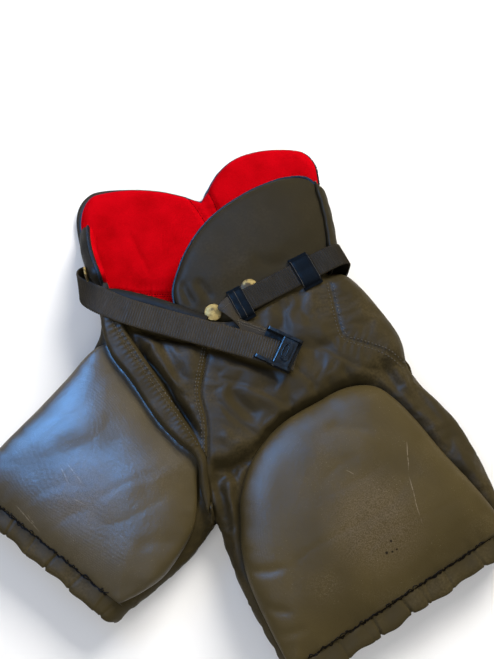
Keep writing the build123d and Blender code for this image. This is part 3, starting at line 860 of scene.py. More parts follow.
def shell(side):
    """The front and back skins of one side, joined along the inseam and the outseam."""
    runs = (CENTRE, *shell_runs(side))
    front = outline(*runs, WAIST_LEFT if side == "left" else WAIST_RIGHT[::-1])
    back = outline(*runs, SEAT_LEFT if side == "left" else SEAT_RIGHT[::-1])
    rows = (0.25, 0.8, 1.8, 3.2, 5.0, 7.5, 10.5)
    plan, faces, _ = fill(front, 2.6, rows)
    other, other_faces, _ = fill(back, 4.5, rows)
    points = np.vstack([np.column_stack([plan, front_height(side, plan)]),
                        np.column_stack([other, back_height(side, other)])])
    faces = np.vstack([faces, other_faces[:, ::-1] + len(plan)])
    made = mesh_object(f"shell_{side}", points, faces)
    join_rims(made)
    crumple_shell(made, side)
    solid(made, SHELL_WALL)
    return made


def join_rims(thing):
    """Sews vertices that lie at one place."""
    modifier = thing.modifiers.new("Weld", "WELD")
    modifier.merge_threshold = 0.05 * MM
    apply_modifiers(thing)


SHELL_WALL = 2.2                 # thickness of the shell's cloth and lining
CUFF_WALL = 1.2
PINNED_NEAR = 3.0                # cloth this close to a seam stays put in the simulation
FLAT_BELOW = 10.0                # cloth below this height lies on the floor and stays put
MOST_SHIFT = 5.0                 # the furthest that the simulation may move the cloth


def crumple_shell(thing, side):
    """Wrinkles the cloth between its seams."""
    at = np.array([v.co for v in thing.data.vertices]) / MM - CROTCH
    plan = at[:, :2]
    keep = nearest(plan, CENTRE_LINE)[0]
    keep = np.minimum(keep, nearest(plan, PAD_RIM[side], True)[0])
    for line in ([WAIST_LEFT, YOKE] if side == "left" else [WAIST_RIGHT, GROIN_SEAM]):
        keep = np.minimum(keep, nearest(plan, curve(line))[0])
    keep = np.minimum(keep, nearest(plan, curve(SIDES[side]["hem"]))[0])
    pinned = (keep < PINNED_NEAR) | within(plan, PAD_RIM[side]) | (at[:, 2] < FLAT_BELOW)
    crumple(thing, pinned.astype(float), MOST_SHIFT)


def hem_frame(side):
    """The plan directions across a leg's end and down it."""
    a, b = (np.array(p, float) for p in SIDES[side]["hem"])
    across = (b - a) / np.linalg.norm(b - a)
    down = np.array([across[1], -across[0]])
    return across, -down if down[1] > 0 else down


def thigh_pad(side):
    """The raised pad on a thigh: a coated cloth pocket pulled over its guard and foam."""
    rim = PAD_RIM[side]
    peak = PAD_TOP + 4.0

    def top(plan, far):
        beside_rim = nearest(plan, curve(SIDES[side]["pad"]))[0]
        beside_rim = np.minimum(beside_rim, nearest(plan, curve(SIDES[side]["pad_inner"]))[0])
        rise = crown(beside_rim, 30, 2.3) * 0.62 + crown(beside_rim, 95, 1.9) * 0.38
        rise *= 1 - 0.92 * np.exp(-nearest(plan, curve(SIDES[side]["pad_end"]))[0] / 24)
        if side == "right":
            rise *= 1 - 0.9 * np.exp(-nearest(plan, curve(ROLL_OUTER))[0] / 26)
        height = PAD_SEAT + 1 + 2.5 * crown(far, 5, 2.2) + (peak - PAD_SEAT - 3.5) * rise
        soft = smooth(far / 14)
        height += (0.5 * bumps(plan, 52, 21) + 0.25 * bumps(plan, 20, 22)) * soft
        height += folds(plan, PAD_FOLDS[side])
        height += 0.35 * creases(plan, 26, 24, (2.4, 1), 30) * soft
        _, along, _ = nearest(plan, rim, True)
        pull = bumps(np.column_stack([along, far]), 7, 23, (1, 4)) * np.exp(-((far - 3) / 8) ** 2)
        return height + 0.7 * pull * smooth(far / 2)

    made = pillow(f"thigh_pad_{side}", rim, top, lambda plan, far: PAD_SEAT - 1 - 0 * far, 2.6,
                  (0.3, 0.9, 2.0, 3.6, 5.8, 8.5))
    pad_nodes = [f"thigh_{part}_{side}" for part in ("pocket", "guard", "foam")]
    finish_piece(made, PAD_CLOTH[side], stands_for=pad_nodes)
    bend(made, side)
    return made


def cuff(side):
    """The gathered end of a leg: cloth over elastic, pleated all the way round."""
    a, b = (np.array(p, float) for p in SIDES[side]["hem"])
    across, down = hem_frame(side)
    width = np.linalg.norm(b - a) - 3
    height = LEG_TOP - 3.0
    corner = height / 2 - 1
    straight = width - 2 * corner
    arc = math.pi * corner
    loop = 2 * straight + 2 * arc
    count = int(loop / 1.1)
    centre = (a + b) / 2
    rng = np.random.default_rng(31 if side == "left" else 47)
    pleat_at = []
    reach = 0.0
    while reach < loop - 8:
        reach += rng.uniform(9, 30)
        pleat_at.append((reach, rng.choice([0.5, 0.8, 1.1, 2.2]), rng.uniform(0.7, 1.2), rng.uniform(-5, 5)))
    first, length = SIDES[side]["cuff"]
    stations = [(-0.12, -3.0), (-0.04, -2.4), (0.0, -1.4), (0.05, 0.6), (0.14, 1.9), (0.3, 2.3), (0.45, 1.9),
                (0.6, 1.7), (0.75, 1.8), (0.87, 1.2), (0.96, 0.2), (1.0, -0.9), (0.97, -2.0), (0.8, -2.8),
                (0.4, -3.2), (0.1, -3.4)]
    points = []
    for share, out in stations:
        w = first + length * share
        for k in range(count):
            s = loop * k / count
            if s < straight:
                x, z, nx, nz = s - straight / 2, corner, 0.0, 1.0
            elif s < straight + arc:
                t = (s - straight) / corner
                nx, nz = math.sin(t), math.cos(t)
                x, z = straight / 2 + corner * nx, corner * nz
            elif s < 2 * straight + arc:
                x, z, nx, nz = straight / 2 - (s - straight - arc), -corner, 0.0, -1.0
            else:
                t = (s - 2 * straight - arc) / corner
                nx, nz = -math.sin(t), -math.cos(t)
                x, z = -straight / 2 + corner * nx, corner * nz
            ease = min(max(share / 0.2, 0), 1)
            crease = sum(depth * math.exp(-(((s - where + lean * share) / wide) ** 2))
                         for where, depth, wide, lean in pleat_at if abs(s - where) < 14)
            puff = 0.5 * math.sin(s / 6.7 + 1.3 * math.sin(s / 23)) + 0.3 * math.sin(s / 3.4 + share * 2.5)
            push = out + ease * (puff - crease)
            edge = ease * (0.9 * math.sin(s / 9.1) + 0.7 * math.sin(s / 4.3 + 2) - 1.1 * crease)
            span = centre + across * (x + nx * push) + down * (w + edge * smooth((share - 0.5) * 3))
            points.append((*span, max(0.3, height / 2 + 1.0 + z + nz * push)))
    faces = []
    for j in range(len(stations) - 1):
        for k in range(count):
            m = (k + 1) % count
            faces.append((j * count + m, (j + 1) * count + m, (j + 1) * count + k, j * count + k))
    made = face_out(mesh_object(f"hem_cuff_gathered_{side}", points, faces))
    solid(made, CUFF_WALL)
    finish_piece(made, CUFF_CLOTH, f"leg_{side}", [f"hem_cuff_{side}", f"hem_elastic_{side}"])
    return made


# ---- left hip pad, kidney pads and the wrap between them ----
LOBE_RISE = [(-40, 196), (-43, 214), (-39, 234), (-30, 258), (-15, 282), (4, 301), (29, 318), (52, 329),
             (70, 334), (86, 334), (97, 326), (104, 304), (108, 280), (110, 258), (109, 237)]
LOBE_FOOT = [(109, 237), (60, 208), (18, 185), (-9, 184), (-26, 188), (-40, 196)]
BACK_RISE = [(-122, 214), (-135, 250), (-147, 294), (-147, 318), (-138, 333), (-124, 339), (-93, 341),
             (-62, 339), (-40, 333), (-20, 325)]
LINER_RISE = [(-122, 214), (-129, 250), (-141, 288), (-142, 312), (-135, 328), (-122, 334), (-93, 338),
              (-62, 336), (-40, 331), (-20, 325)]
BACK_RISE_LEFT = [(-20, 325), (-13, 337), (-2, 357), (15, 373), (36, 381), (60, 384), (84, 382), (96, 372),
                  (101, 356), (106, 304), (111, 262)]
BACK_FOOT = [(111, 262), (60, 225), (0, 190), (-60, 184), (-122, 214)]


LOBE_FOLDS = [(-2.0, 4, [(-36, 226), (-30, 210), (-22, 196)]), (-2.2, 4, [(-22, 226), (-12, 214), (-6, 202)]),
              (1.6, 5, [(-30, 222), (-20, 208), (-12, 196)]), (-1.5, 6, [(30, 250), (52, 240), (74, 246)])]


def hip_pad_left():
    """The padded cover that lies over the front, its binding and the red liner below it."""
    rim = outline(LOBE_RISE, LOBE_FOOT, step=2.5)
    edge_z = LOBE_LOW + 6.0
    right_edge = curve(LOBE_RISE[9:])

    def top(plan, far):
        rise = crown(far, 9, 2.0)
        curl = np.exp(-(nearest(plan, right_edge)[0] / 20) ** 2) * 5.0
        belt_zone = smooth((nearest(plan, curve(LOBE_FOOT))[0] - 18) / 30)
        dome = 3.5 * crown(far, 55, 2.0) * belt_zone
        soft = 0.7 * bumps(plan, 40, 41) + 0.2 * bumps(plan, 15, 42) + folds(plan, LOBE_FOLDS)
        return edge_z + (LOBE_TOP - edge_z) * rise + dome - curl * rise + soft * rise

    def under(plan, far):
        return edge_z - (edge_z - LOBE_LOW - 1.2) * crown(far, 8, 2.0)

    made = pillow("hip_pad_left", rim, top, under, 3.0)
    nodes = ["hip_cover_left", "hip_foam_left", "hip_plate_left"]
    finish_piece(made, LOBE_CLOTH, "torso", nodes)
    liner_rim = outline([(x, y) for x, y in shrunk(rim, 2.0)[::3]], step=3)
    liner = pillow("hip_liner_red_left", liner_rim, lambda p, far: LOBE_LOW + 1.6 + 0 * far,
                   lambda p, far: LOBE_LOW + 0.8 - 0.8 * crown(far, 5) + 0.2 * bumps(p, 9, 43), 4.0)
    finish_piece(liner, RED, "torso", ["hip_liner_left"])
    edge = curve([(x, y, edge_z + 0.9) for x, y in LOBE_RISE[:11]], 2.0)
    binding = tube("hip_binding_left", edge, 1.5, 0.10, 5)
    finish_piece(binding, BINDING, "torso")


def shrunk(rim, by):
    """A closed outline moved in."""
    ahead = np.roll(rim, -1, 0)
    turn = 1 if (rim[:, 0] * ahead[:, 1] - ahead[:, 0] * rim[:, 1]).sum() > 0 else -1
    way = unit(ahead - np.roll(rim, 1, 0))
    moved = rim + turn * by * np.column_stack([-way[:, 1], way[:, 0]])
    return moved[nearest(moved, rim, True)[0] > abs(by) * 0.95]


VALLEYS = [[(-33, 328), (-26, 318), (-14, 299), (-4, 280)], [(-13, 338), (-9, 329), (-1, 310), (6, 296)]]
LINER_SEAM = [(-104, 226), (-87, 224), (-68, 223), (-45, 222), (-24, 220)]
LINER_FOLDS = [
    (-1.2, 3, [(-96, 296), (-86, 276), (-72, 248), (-66, 236)]),
    (0.7, 6, [(-104, 290), (-92, 262), (-80, 242)]),
    (-1.2, 9, [(-122, 300), (-116, 288), (-108, 272)]),
    (-2.0, 7, [(-96, 232), (-70, 230), (-46, 229), (-30, 228)]),
]


def kidney_pads():
    """The black outer cover, the thick red liner in it and the binding that joins them."""
    rim = outline(BACK_RISE, BACK_RISE_LEFT, BACK_FOOT, step=2.5)
    edge_z = 9.0

    def liner_top(plan, far):
        height = edge_z + 1 + (LINER_TOP + 4.5 - edge_z) * crown(far, 13, 2.3)
        height += (1.3 * bumps(plan, 38, 51) + 0.5 * bumps(plan, 14, 52)) * smooth(far / 8)
        for number, line in enumerate(VALLEYS):
            height += seam_dip(plan, curve(line), 2.6, 2.2, 0.35, 6, seed=60 + number)
        spine = nearest(plan, curve([(-22, 334), (-10, 310), (2, 288)]))[0]
        height -= 2.5 * np.exp(-(spine / 8) ** 2)
        height += folds(plan, LINER_FOLDS)
        return height + seam_dip(plan, curve(LINER_SEAM), 2.8, 1.8, 0.5, seed=55)

    def cover_under(plan, far):
        lift = 0.5 * np.abs(bumps(plan, 30, 53)) * smooth(far / 9)
        return edge_z - (edge_z - 0.3) * crown(far, 10, 2.0) + lift

    inner = outline(LINER_RISE, BACK_RISE_LEFT, BACK_FOOT, step=2.2)
    liner = pillow("kidney_liner_red", inner, liner_top, lambda p, far: edge_z + 0.4 + 0 * far, 2.2)
    lines = [*VALLEYS, LINER_SEAM, beside(LINER_SEAM, -2.6)]
    sewn = stitches("liner_stitching", surface(liner), lines, 2.6, 2.4, 0.42)
    finish_piece(sewn, RED_THREAD, "torso")
    nodes = ["back_liner", "kidney_foam_left", "kidney_foam_right", "spine_foam"]
    finish_piece(liner, RED, "torso", nodes)
    cover = pillow("kidney_cover", rim, lambda p, far: edge_z - 3.5 + 3.7 * crown(far, 8), cover_under, 4.0)
    finish_piece(cover, CLOTH, "torso", ["back_cover"])
    edge = curve([(x, y, edge_z + 0.8) for x, y in LINER_RISE + BACK_RISE_LEFT[1:]], 2.0)
    binding = tube("kidney_binding", edge, 1.7, 0.12, 6)
    finish_piece(binding, BINDING, "torso")


def side_wrap():
    """The padded bend from the left hip pad round the wearer's side to the back."""
    line = curve([(96, 330), (102, 312), (107, 288), (110, 264), (112, 246)], 2.5)
    path = np.column_stack([line, np.full(len(line), (LOBE_LOW + 10) / 2 + 4)])
    along, side = frames(path)
    out = -side if side[0][0] < 0 else side
    up = upright(path)
    tall = (LOBE_TOP - 4) / 2
    outer = [(10.0 * math.cos(t) - 2, tall * math.sin(t)) for t in np.linspace(-math.pi / 2, math.pi / 2, 22)]
    inner = [(a - 6.5 if a > 0 else a - 3, b * 0.80) for a, b in outer[::-1]]
    count = len(path)

    def section(i):
        end = min(1.0, 0.35 + 0.65 * smooth(min(i, count - 1 - i) / 5))
        tall_here = 0.8 + 0.2 * end
        return [(a * end + 0.25 * math.sin(i * 0.9 + b * 0.2), b * tall_here) for a, b in outer + inner]

    made = swept("side_wrap_padded", path, out, up, section)
    finish_piece(made, LOBE_CLOTH, "torso", ["side_wrap_left"])


# ---- right hip pad, which stands up ----
def stand_frame():
    """Where the standing pad's local (along, up, out) millimetres are in plan millimetres."""
    joint = JOINTS["button_turn_right_1"]
    out = np.array(joint["axis"], float)
    along = np.cross((0, 0, 1), out)
    along = -along if along[1] > 0 else along
    low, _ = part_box("hip_liner_right")
    corner = np.array([(v.co.x, v.co.y, v.co.z) for v in frame["nodes"]["hip_liner_right"].data.vertices])
    corner = corner / MM - CROTCH
    reach = corner @ along
    inner = (corner @ out).min()
    origin = along * reach.min() + out * inner
    return origin + np.array([0, 0, low.z / MM]), along, out


STAND_AT, STAND_ALONG, STAND_OUT = stand_frame()


def standing(points):
    """Local (along, up, out) millimetres of the standing pad as metres in the row's frame."""
    p = np.asarray(points, float)
    spread = STAND_AT + p[:, :1] * STAND_ALONG + p[:, 1:2] * np.array([0, 0, 1]) + p[:, 2:] * STAND_OUT
    return placed(spread)


STAND_RIM = [(0, -6), (2, 2), (12, 14), (27, 27), (44, 39), (60, 50), (69, 56), (77, 56), (81, 49), (82, 30),
             (81, -4)]


def hip_pad_right():
    """The standing pad: red liner inside, black cover outside, and the binding over its edge."""
    rim = np.vstack([curve(STAND_RIM, 2.0)[:-1], curve([STAND_RIM[-1], STAND_RIM[0]], 2.0)[:-1]])

    def lean(plan):
        return 3.0 * np.sin(plan[:, 0] / 26) - plan[:, 1] * 0.05

    def cover_out(plan, far):
        return 6 + 8.5 * crown(far, 9, 2.2) + 0.8 * bumps(plan, 22, 71) + lean(plan)

    made = pillow("hip_pad_right", rim, cover_out, lambda p, far: 5 - 3.4 * crown(far, 6) + lean(p), 2.5,
                  where=standing)
    nodes = ["hip_cover_right", "hip_foam_right", "hip_plate_right"]
    finish_piece(made, DARK_CLOTH, "torso", nodes)
    liner = pillow("hip_liner_red_right", shrunk(rim, 1.0), lambda p, far: 4.6 + 0 * far + lean(p),
                   lambda p, far: 4 - 5.5 * crown(far, 8) + 0.5 * bumps(p, 16, 72) + lean(p), 2.5,
                   where=standing)
    finish_piece(liner, RED, "torso", ["hip_liner_right"])
    edge = curve(STAND_RIM, 1.6)
    path = np.column_stack([edge, 5.2 + lean(edge)])
    along = unit(np.gradient(path, axis=0))
    side = np.cross(along, (0, 0, 1))
    up = np.cross(side, along)
    turns = [2 * math.pi * k / 10 for k in range(10)]
    ring = [(1.4 * math.cos(t), 1.4 * math.sin(t)) for t in turns]
    binding = swept("hip_binding_right", path, side, up, ring, where=standing)
    finish_piece(binding, BINDING, "torso")


def patch():
    """The fuzzy hook-and-loop patch at the standing pad's front end."""
    low, high = (planned(corner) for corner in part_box("fly_patch"))
    middle = (low + high) / 2
    size = (high - low) / 2
    rng = np.random.default_rng(82)
    corners = [(-size[0], -size[1]), (size[0], -size[1]), (size[0], size[1]), (-size[0], size[1])]
    rim = curve(corners, 1.5, True) * 0.95 + middle[:2]
    top = high[2]
    made = pillow("fly_patch_fuzzy", rim,
                  lambda p, far: top - 1 + 1.2 * crown(far, 2.5) + 0.4 * bumps(p, 2.5, 81),
                  lambda p, far: low[2] + 1 - crown(far, 2), 1.4, (0.3, 0.8))
    finish_piece(made, FUZZ, "torso", ["fly_patch"])
    points, faces = [], []
    for _ in range(260):
        root = middle + size * np.array([*rng.uniform(-0.95, 0.95, 2), 0.75])
        tip = root + rng.uniform(-1.3, 1.3, 3) + (0, 0, 1.6)
        sideways = np.cross(tip - root, rng.uniform(-1, 1, 3))
        sideways *= 0.16 / np.linalg.norm(sideways)
        base = len(points)
        points += [root - sideways, root + sideways, root + (0, 0, 0.3), tip]
        faces += [(base + a, base + b, base + c) for a, b, c in ((0, 1, 3), (1, 2, 3), (2, 0, 3), (0, 2, 1))]
    pile = mesh_object("fly_patch_pile", points, faces)
    finish_piece(pile, FUZZ, "torso")


# ---- webbing ----
def run_frame(node_angle, start):
    """A function that turns (along, z) pairs of a belt's run into points."""
    way = np.array([math.cos(node_angle), math.sin(node_angle)])
    return lambda along, z: (*(np.array(start, float) + way * along), z)


LEFT_START, LEFT_WAY = (20, 198.5), math.atan2(53.5, 100)
RIGHT_START, RIGHT_WAY = (51, 151.5), math.atan2(46, -160)
BELT_WIDTH = 25.0
BELT_T = 1.5
# The slack turn of the right belt: where its middle is, and the direction across it.
SLACK = [(-104, 199, 62, 0.27, 0.96, 0.05), (-117, 206, 59, 0.22, 0.94, 0.25),
         (-129, 214, 53, 0.1, 0.84, 0.52), (-135, 223, 44, -0.05, 0.72, 0.69),
         (-133, 232, 34, -0.25, 0.72, 0.65), (-126, 236, 24, -0.2, 0.84, 0.5),
         (-117, 233, 12, 0.2, 0.95, 0.25), (-106, 224, 4.5, 0.4, 0.9, 0.05), (-90, 209, 2.4, 0.45, 0.89, 0)]


def belt():
    """Both lengths of webbing, with the slack loop at the wearer's right and the folded end at the left."""
    right = run_frame(RIGHT_WAY, RIGHT_START)
    top = RIGHT_RUN + BELT_T / 2
    flat = (math.sin(RIGHT_WAY), -math.cos(RIGHT_WAY), 0.0)
    path = [right(-24, top - 0.4), right(-8, top + 0.2), right(20, top + 1.2), right(60, top + 0.6),
            right(100, top - 0.8), right(140, top + 0.4)]
    path = [(*spot, *flat) for spot in path] + SLACK
    path += [(*right(140, 2.2), *flat), (*right(98, 2.2), *flat)]
    made = strap("belt_webbing_right", path, BELT_WIDTH, BELT_T)
    finish_piece(made, WEBBING, "torso", ["belt_right"])
    left = run_frame(LEFT_WAY, LEFT_START)
    top = LEFT_RUN + BELT_T / 2
    flat = (-math.sin(LEFT_WAY), math.cos(LEFT_WAY), 0.0)
    path = [left(-9, top - 0.2), left(4, top + 0.6), left(30, top), left(60, top + 0.2), left(84, top + 0.2),
            left(100, top), left(111, top - 3.5), left(116.5, top - 13), left(117.5, 34), left(117, 14),
            left(112, 4.5), left(98, 2.3), left(60, 2.2), left(-20, 2.2)]
    path = [(*spot, *flat) for spot in path]
    made = strap("belt_webbing_left", path, BELT_WIDTH * 0.92, BELT_T)
    finish_piece(made, DARK_WEBBING, "torso", ["belt_left"])


# The left belt's end: folded by the narrow loop, then sewn down beside the right belt, into the buckle.
FOLD_PATH = [(17, 196, 61.2, -7, 11, 0.4), (12, 192, 62.4, -10, 7, 0.6), (11, 187, 62.6, -10, 5.5, 0.2),
             (16, 182, 62.0, -5, 6.5, 0), (24, 176, 61.2, 0.5, 7, 0), (34, 172, 60.8, 1.8, 7, 0),
             (46, 167.5, 61.2, 2.4, 7, 0), (58, 163, 62.2, 2.4, 7, 0)]


def belt_end():
    """The folded end of the left belt and the bar tacks that hold it."""
    line = curve(FOLD_PATH, 0.8)
    centres, halves = line[:, :3], line[:, 3:]
    along = np.gradient(centres, axis=0)
    up = unit(np.cross(along, halves))
    shape = [(-1, 0), (-0.96, 0.6), (-0.6, 0.55), (0, 0.7), (0.6, 0.55), (0.96, 0.6), (1, 0), (0.96, -0.5),
             (0, -0.5), (-0.96, -0.5)]
    made = swept("belt_end_folded", centres, halves, up, shape)
    finish_piece(made, WEBBING, "torso")
    tree = surface(made)
    rows = [[(22, 181.5), (36, 176.6), (52, 170.6)], [(22, 179), (36, 174.2), (52, 168.4)],
            [(4, 192), (8, 196), (13, 200)], [(20, 184), (19, 176)], [(21.5, 184), (20.5, 176)]]
    sewn = stitches("belt_end_tacks", tree, rows, 1.5, 1.2, 0.5)
    finish_piece(sewn, THREAD, "torso")


def loop(name, at, length, stands_for, edges):
    """A cloth bridge over the left belt, stitched down at both ends."""
    left = run_frame(LEFT_WAY, LEFT_START)
    side = np.array([-math.sin(LEFT_WAY), math.cos(LEFT_WAY)])
    centre = np.array(left(at, 0))
    top = level(stands_for, 1)
    reach = BELT_WIDTH / 2 + 2.4
    spots = [(-reach - 2.5, TORSO_TOP + 0.2), (-reach, TORSO_TOP + 1.4), (-reach + 2.5, top - 1.0),
             (-6, top + 0.1), (0, top - 0.2), (6, top + 0.1), (reach - 2.5, top - 0.8),
             (reach, LOBE_TOP + 2.2), (reach + 2.5, LOBE_TOP + 0.8)]
    path = curve([(centre[0] + side[0] * s, centre[1] + side[1] * s, z) for s, z in spots], 1.0)
    across = np.tile((math.cos(LEFT_WAY), math.sin(LEFT_WAY), 0.0), (len(path), 1))
    along = unit(np.gradient(path, axis=0))
    up = np.cross(across, along)
    half = length / 2
    shape = [(-half, 0), (-half * 0.94, 0.55), (-half * 0.5, 0.65), (0, 0.45), (half * 0.5, 0.65),
             (half * 0.94, 0.55), (half, 0), (half * 0.94, -0.5), (0, -0.5), (-half * 0.94, -0.5)]
    made = swept(name, path, across, up, shape)
    finish_piece(made, LOOP_WEB, "torso", [stands_for])
    way = np.array([math.cos(LEFT_WAY), math.sin(LEFT_WAY)])
    lines = []
    for share in edges:
        lines.append([tuple(centre[:2] + way * (half * share) + side * s) for s in (-reach, 0, reach)])
    sewn = stitches(f"{name}_edge", surface(made), lines, 1.3, 1.2, 0.32)
    finish_piece(sewn, THREAD, "torso")


def groin_roll():
    """The rolled, double-stitched edge of the front where it lies over the right leg."""
    rim = outline(ROLL_OUTER, ROLL_INNER, step=1.8)
    seam = curve(GROIN_SEAM)
    lower = np.array([-6.0, 4.0])

    def top(plan, far):
        reach = np.linalg.norm(plan - lower, axis=1)
        peak = 52 + (TORSO_TOP + 3.5 - 52) * smooth(reach / 70)
        soft = (0.9 * bumps(plan, 16, 95) + 0.4 * bumps(plan, 7, 96)) * smooth(far / 4)
        return 48 + (peak - 48) * crown(far, 5.5, 2.4) + soft + seam_dip(plan, seam, 1.3, 2.6, 0.7, 5.0, 4, 3)

    made = pillow("groin_roll_right", rim, top, lambda p, far: 46.0 + 0 * far, 1.9, (0.4, 1.1, 2.2, 3.6))
    finish_piece(made, CLOTH, "torso")
    sewn = stitches("groin_stitching", surface(made), [beside(GROIN_SEAM, 2.0), beside(GROIN_SEAM, -2.0)],
                    3.2, 2.0, 0.55)
    finish_piece(sewn, THREAD, "torso")


def crotch_gusset():
    """The soft strip between the legs, under the two halves."""
    rim = outline([(-9, 44), (-3, 43), (0, 20), (3, 2), (0, -1)],
                  [(0, -1), (-5, 4), (-8, 20), (-9, 44)], step=2.0)
    made = pillow("crotch_gusset_soft", rim, lambda p, far: MIDDLE + 8 * crown(far, 5) + bumps(p, 8, 91),
                  lambda p, far: MIDDLE - 14 * crown(far, 5), 2.5, (0.4, 1.2, 2.4))
    finish_piece(made, CLOTH, "torso", ["crotch_gusset"])


def lever_ridge():
    """The oval ridge moulded on the buckle's lever."""
    axis = np.array(JOINTS["buckle_lever_hinge"]["axis"], float)
    across = np.array([axis[1], -axis[0], 0.0])
    low, high = (planned(corner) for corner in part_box("buckle_lever"))
    centre = (low + high) / 2 * (1, 1, 0) + (0, 0, high[2] - 0.1)
    turns = np.linspace(0, 2 * math.pi, 41)[:-1]
    path = np.array([centre + axis * 7.5 * math.cos(t) + across * 2.4 * math.sin(t) for t in turns])
    out = unit(path - centre)
    up = upright(path)
    ring = [(0.55 * math.cos(t), 0.55 * math.sin(t)) for t in np.linspace(0, 2 * math.pi, 9)[:-1]]
    rows = [np.vstack([part, part[:1]]) for part in (path, out, up)]
    made = swept("buckle_lever_ridge", *rows, ring)
    finish_piece(made, BUCKLE, "buckle_lever")


def waistband():
    """The dark band along the top of the right front."""
    line = curve([(-110, 209), (-97, 209), (-66, 202), (-38, 193), (-10, 182)], 2.0)
    path = np.column_stack([line, np.full(len(line), TORSO_TOP + 0.5)])
    _, side = frames(path)
    up = upright(path)
    shape = [(-6, 0), (-5.2, 1.0), (0, 1.4), (5.2, 1.0), (6, 0), (5.2, -3), (-5.2, -3)]
    made = swept("waistband_right", path, side, up, shape)
    finish_piece(made, DARK_CLOTH, "torso")


# ---- buttons ----
def button(side, number):
    """A domed, rimmed cap that turns on its tack."""
    joint = JOINTS[f"button_turn_{side}_{number}"]
    axis = np.array(joint["axis"], float)
    node = f"button_cap_{side}_{number}"
    low, high = (planned(c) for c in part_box(node))
    centre = (low + high) / 2
    side_way = np.cross(axis, (0.3, 1, 0.2))
    side_way /= np.linalg.norm(side_way)
    other = np.cross(axis, side_way)
    profile = [(0, 1.5), (1.6, 1.47), (3.2, 1.36), (4.6, 1.18), (5.8, 0.95), (6.6, 0.72), (7.0, 0.62),
               (7.5, 0.68), (8.0, 0.5), (8.4, 0.0), (8.3, -0.6), (7.6, -1.1), (4, -1.1), (3, -1.1)]
    turns = 48
    points = []
    for radius, height in profile:
        for k in range(turns):
            t = 2 * math.pi * k / turns
            r = radius * (1 + 0.004 * math.sin(3 * t))
            points.append(centre + axis * height + side_way * r * math.cos(t) + other * r * math.sin(t))
    faces = []
    for j in range(len(profile) - 1):
        for k in range(turns):
            m = (k + 1) % turns
            faces.append((j * turns + k, (j + 1) * turns + k, (j + 1) * turns + m, j * turns + m))
    made = mesh_object(f"suspender_button_{side}_{number}", points, faces)
    join_rims(made)
    face_out(made)
    finish_piece(made, BRASS, node, [node])


# ---- stitching ----
def surface(*things):
    """A tree of meshes, to find heights on."""
    points, faces = [], []
    for thing in things:
        base = len(points)
        points += [v.co.copy() for v in thing.data.vertices]
        faces += [[base + i for i in face.vertices] for face in thing.data.polygons]
    return BVHTree.FromPolygons(points, faces)


def stitches(name, tree, lines, pitch=3.0, length=2.1, radius=0.42, sink=0.1):
    """Short raised stitches along plan lines, laid on a surface from above."""
    points, faces = [], []
    for line in lines:
        path = curve(line, 1.0)
        travel = travelled(path)
        for s in np.arange(pitch / 2, travel[-1], pitch):
            ends = []
            for t in (s - length / 2, s, s + length / 2):
                spot = np.array([np.interp(t, travel, path[:, k]) for k in (0, 1)])
                x, y, _ = placed([(*spot, 0)])[0]
                hit = tree.ray_cast(Vector((x, y, 0.12)), Vector((0, 0, -1)))
                if hit[0] is not None:
                    ends.append((planned(hit[0]), np.array(hit[1])))
            if len(ends) < 3 or ends[1][1][2] < 0.25:
                continue
            (a, _), (m, up), (b, _) = ends
            along = b - a
            if np.linalg.norm(along) > length * 2.2:
                continue
            along = along / max(np.linalg.norm(along), 1e-6)
            side = np.cross(along, up)
            side /= max(np.linalg.norm(side), 1e-6)
            base = len(points)
            for share, wide in ((-0.5, 0.15), (-0.3, 0.9), (0.3, 0.9), (0.5, 0.15)):
                lift = (radius * 0.5 - sink) * (1 if abs(share) < 0.4 else -0.5)
                middle = m + along * share * length + up * lift
                for k in range(6):
                    t = math.pi / 3 * k
                    points.append(middle + (side * math.cos(t) + up * math.sin(t)) * radius * wide)
            for ring in range(3):
                for k in range(6):
                    j = (k + 1) % 6
                    low = base + ring * 6
                    faces.append((low + k, low + j, low + 6 + j, low + 6 + k))
            faces.append(tuple(base + k for k in range(5, -1, -1)))
            faces.append(tuple(base + 18 + k for k in range(6)))
    return mesh_object(name, points, faces)


def beside(line, by):
    """A line moved sideways."""
    path = curve(line, 6.0)
    way = unit(np.gradient(path, axis=0))
    return path + by * np.column_stack([-way[:, 1], way[:, 0]])


def ragged(line, seed):
    """A line with small random steps to either side, for rough overlock stitching."""
    path = curve(line, 2.2)[3:-3]
    rng = np.random.default_rng(200 + seed)
    return path + rng.uniform(-1.7, 1.7, path.shape)


# ---- build ----
def carried_nodes():
    """Materials for the CAD nodes that show or stay inside."""
    looks = {"buckle_frame": BUCKLE, "buckle_lever": BUCKLE, "buckle_pin": STEEL, "button_tacks": BRASS,
             "seat_foam": FOAM, "tailbone_foam": FOAM, "tailbone_plate": GUARD, "kidney_plate_left": GUARD,
             "kidney_plate_right": GUARD, "belt_loops_back": LOOP_WEB}
    for node, look in looks.items():
        thing = frame["nodes"][node]
        thing.data.materials.clear()
        thing.data.materials.append(look)
        if node.startswith("buckle"):
            edge = thing.modifiers.new("Bevel", "BEVEL")
            edge.width = 0.5 * MM
            edge.segments = 3
            edge.limit_method = "ANGLE"


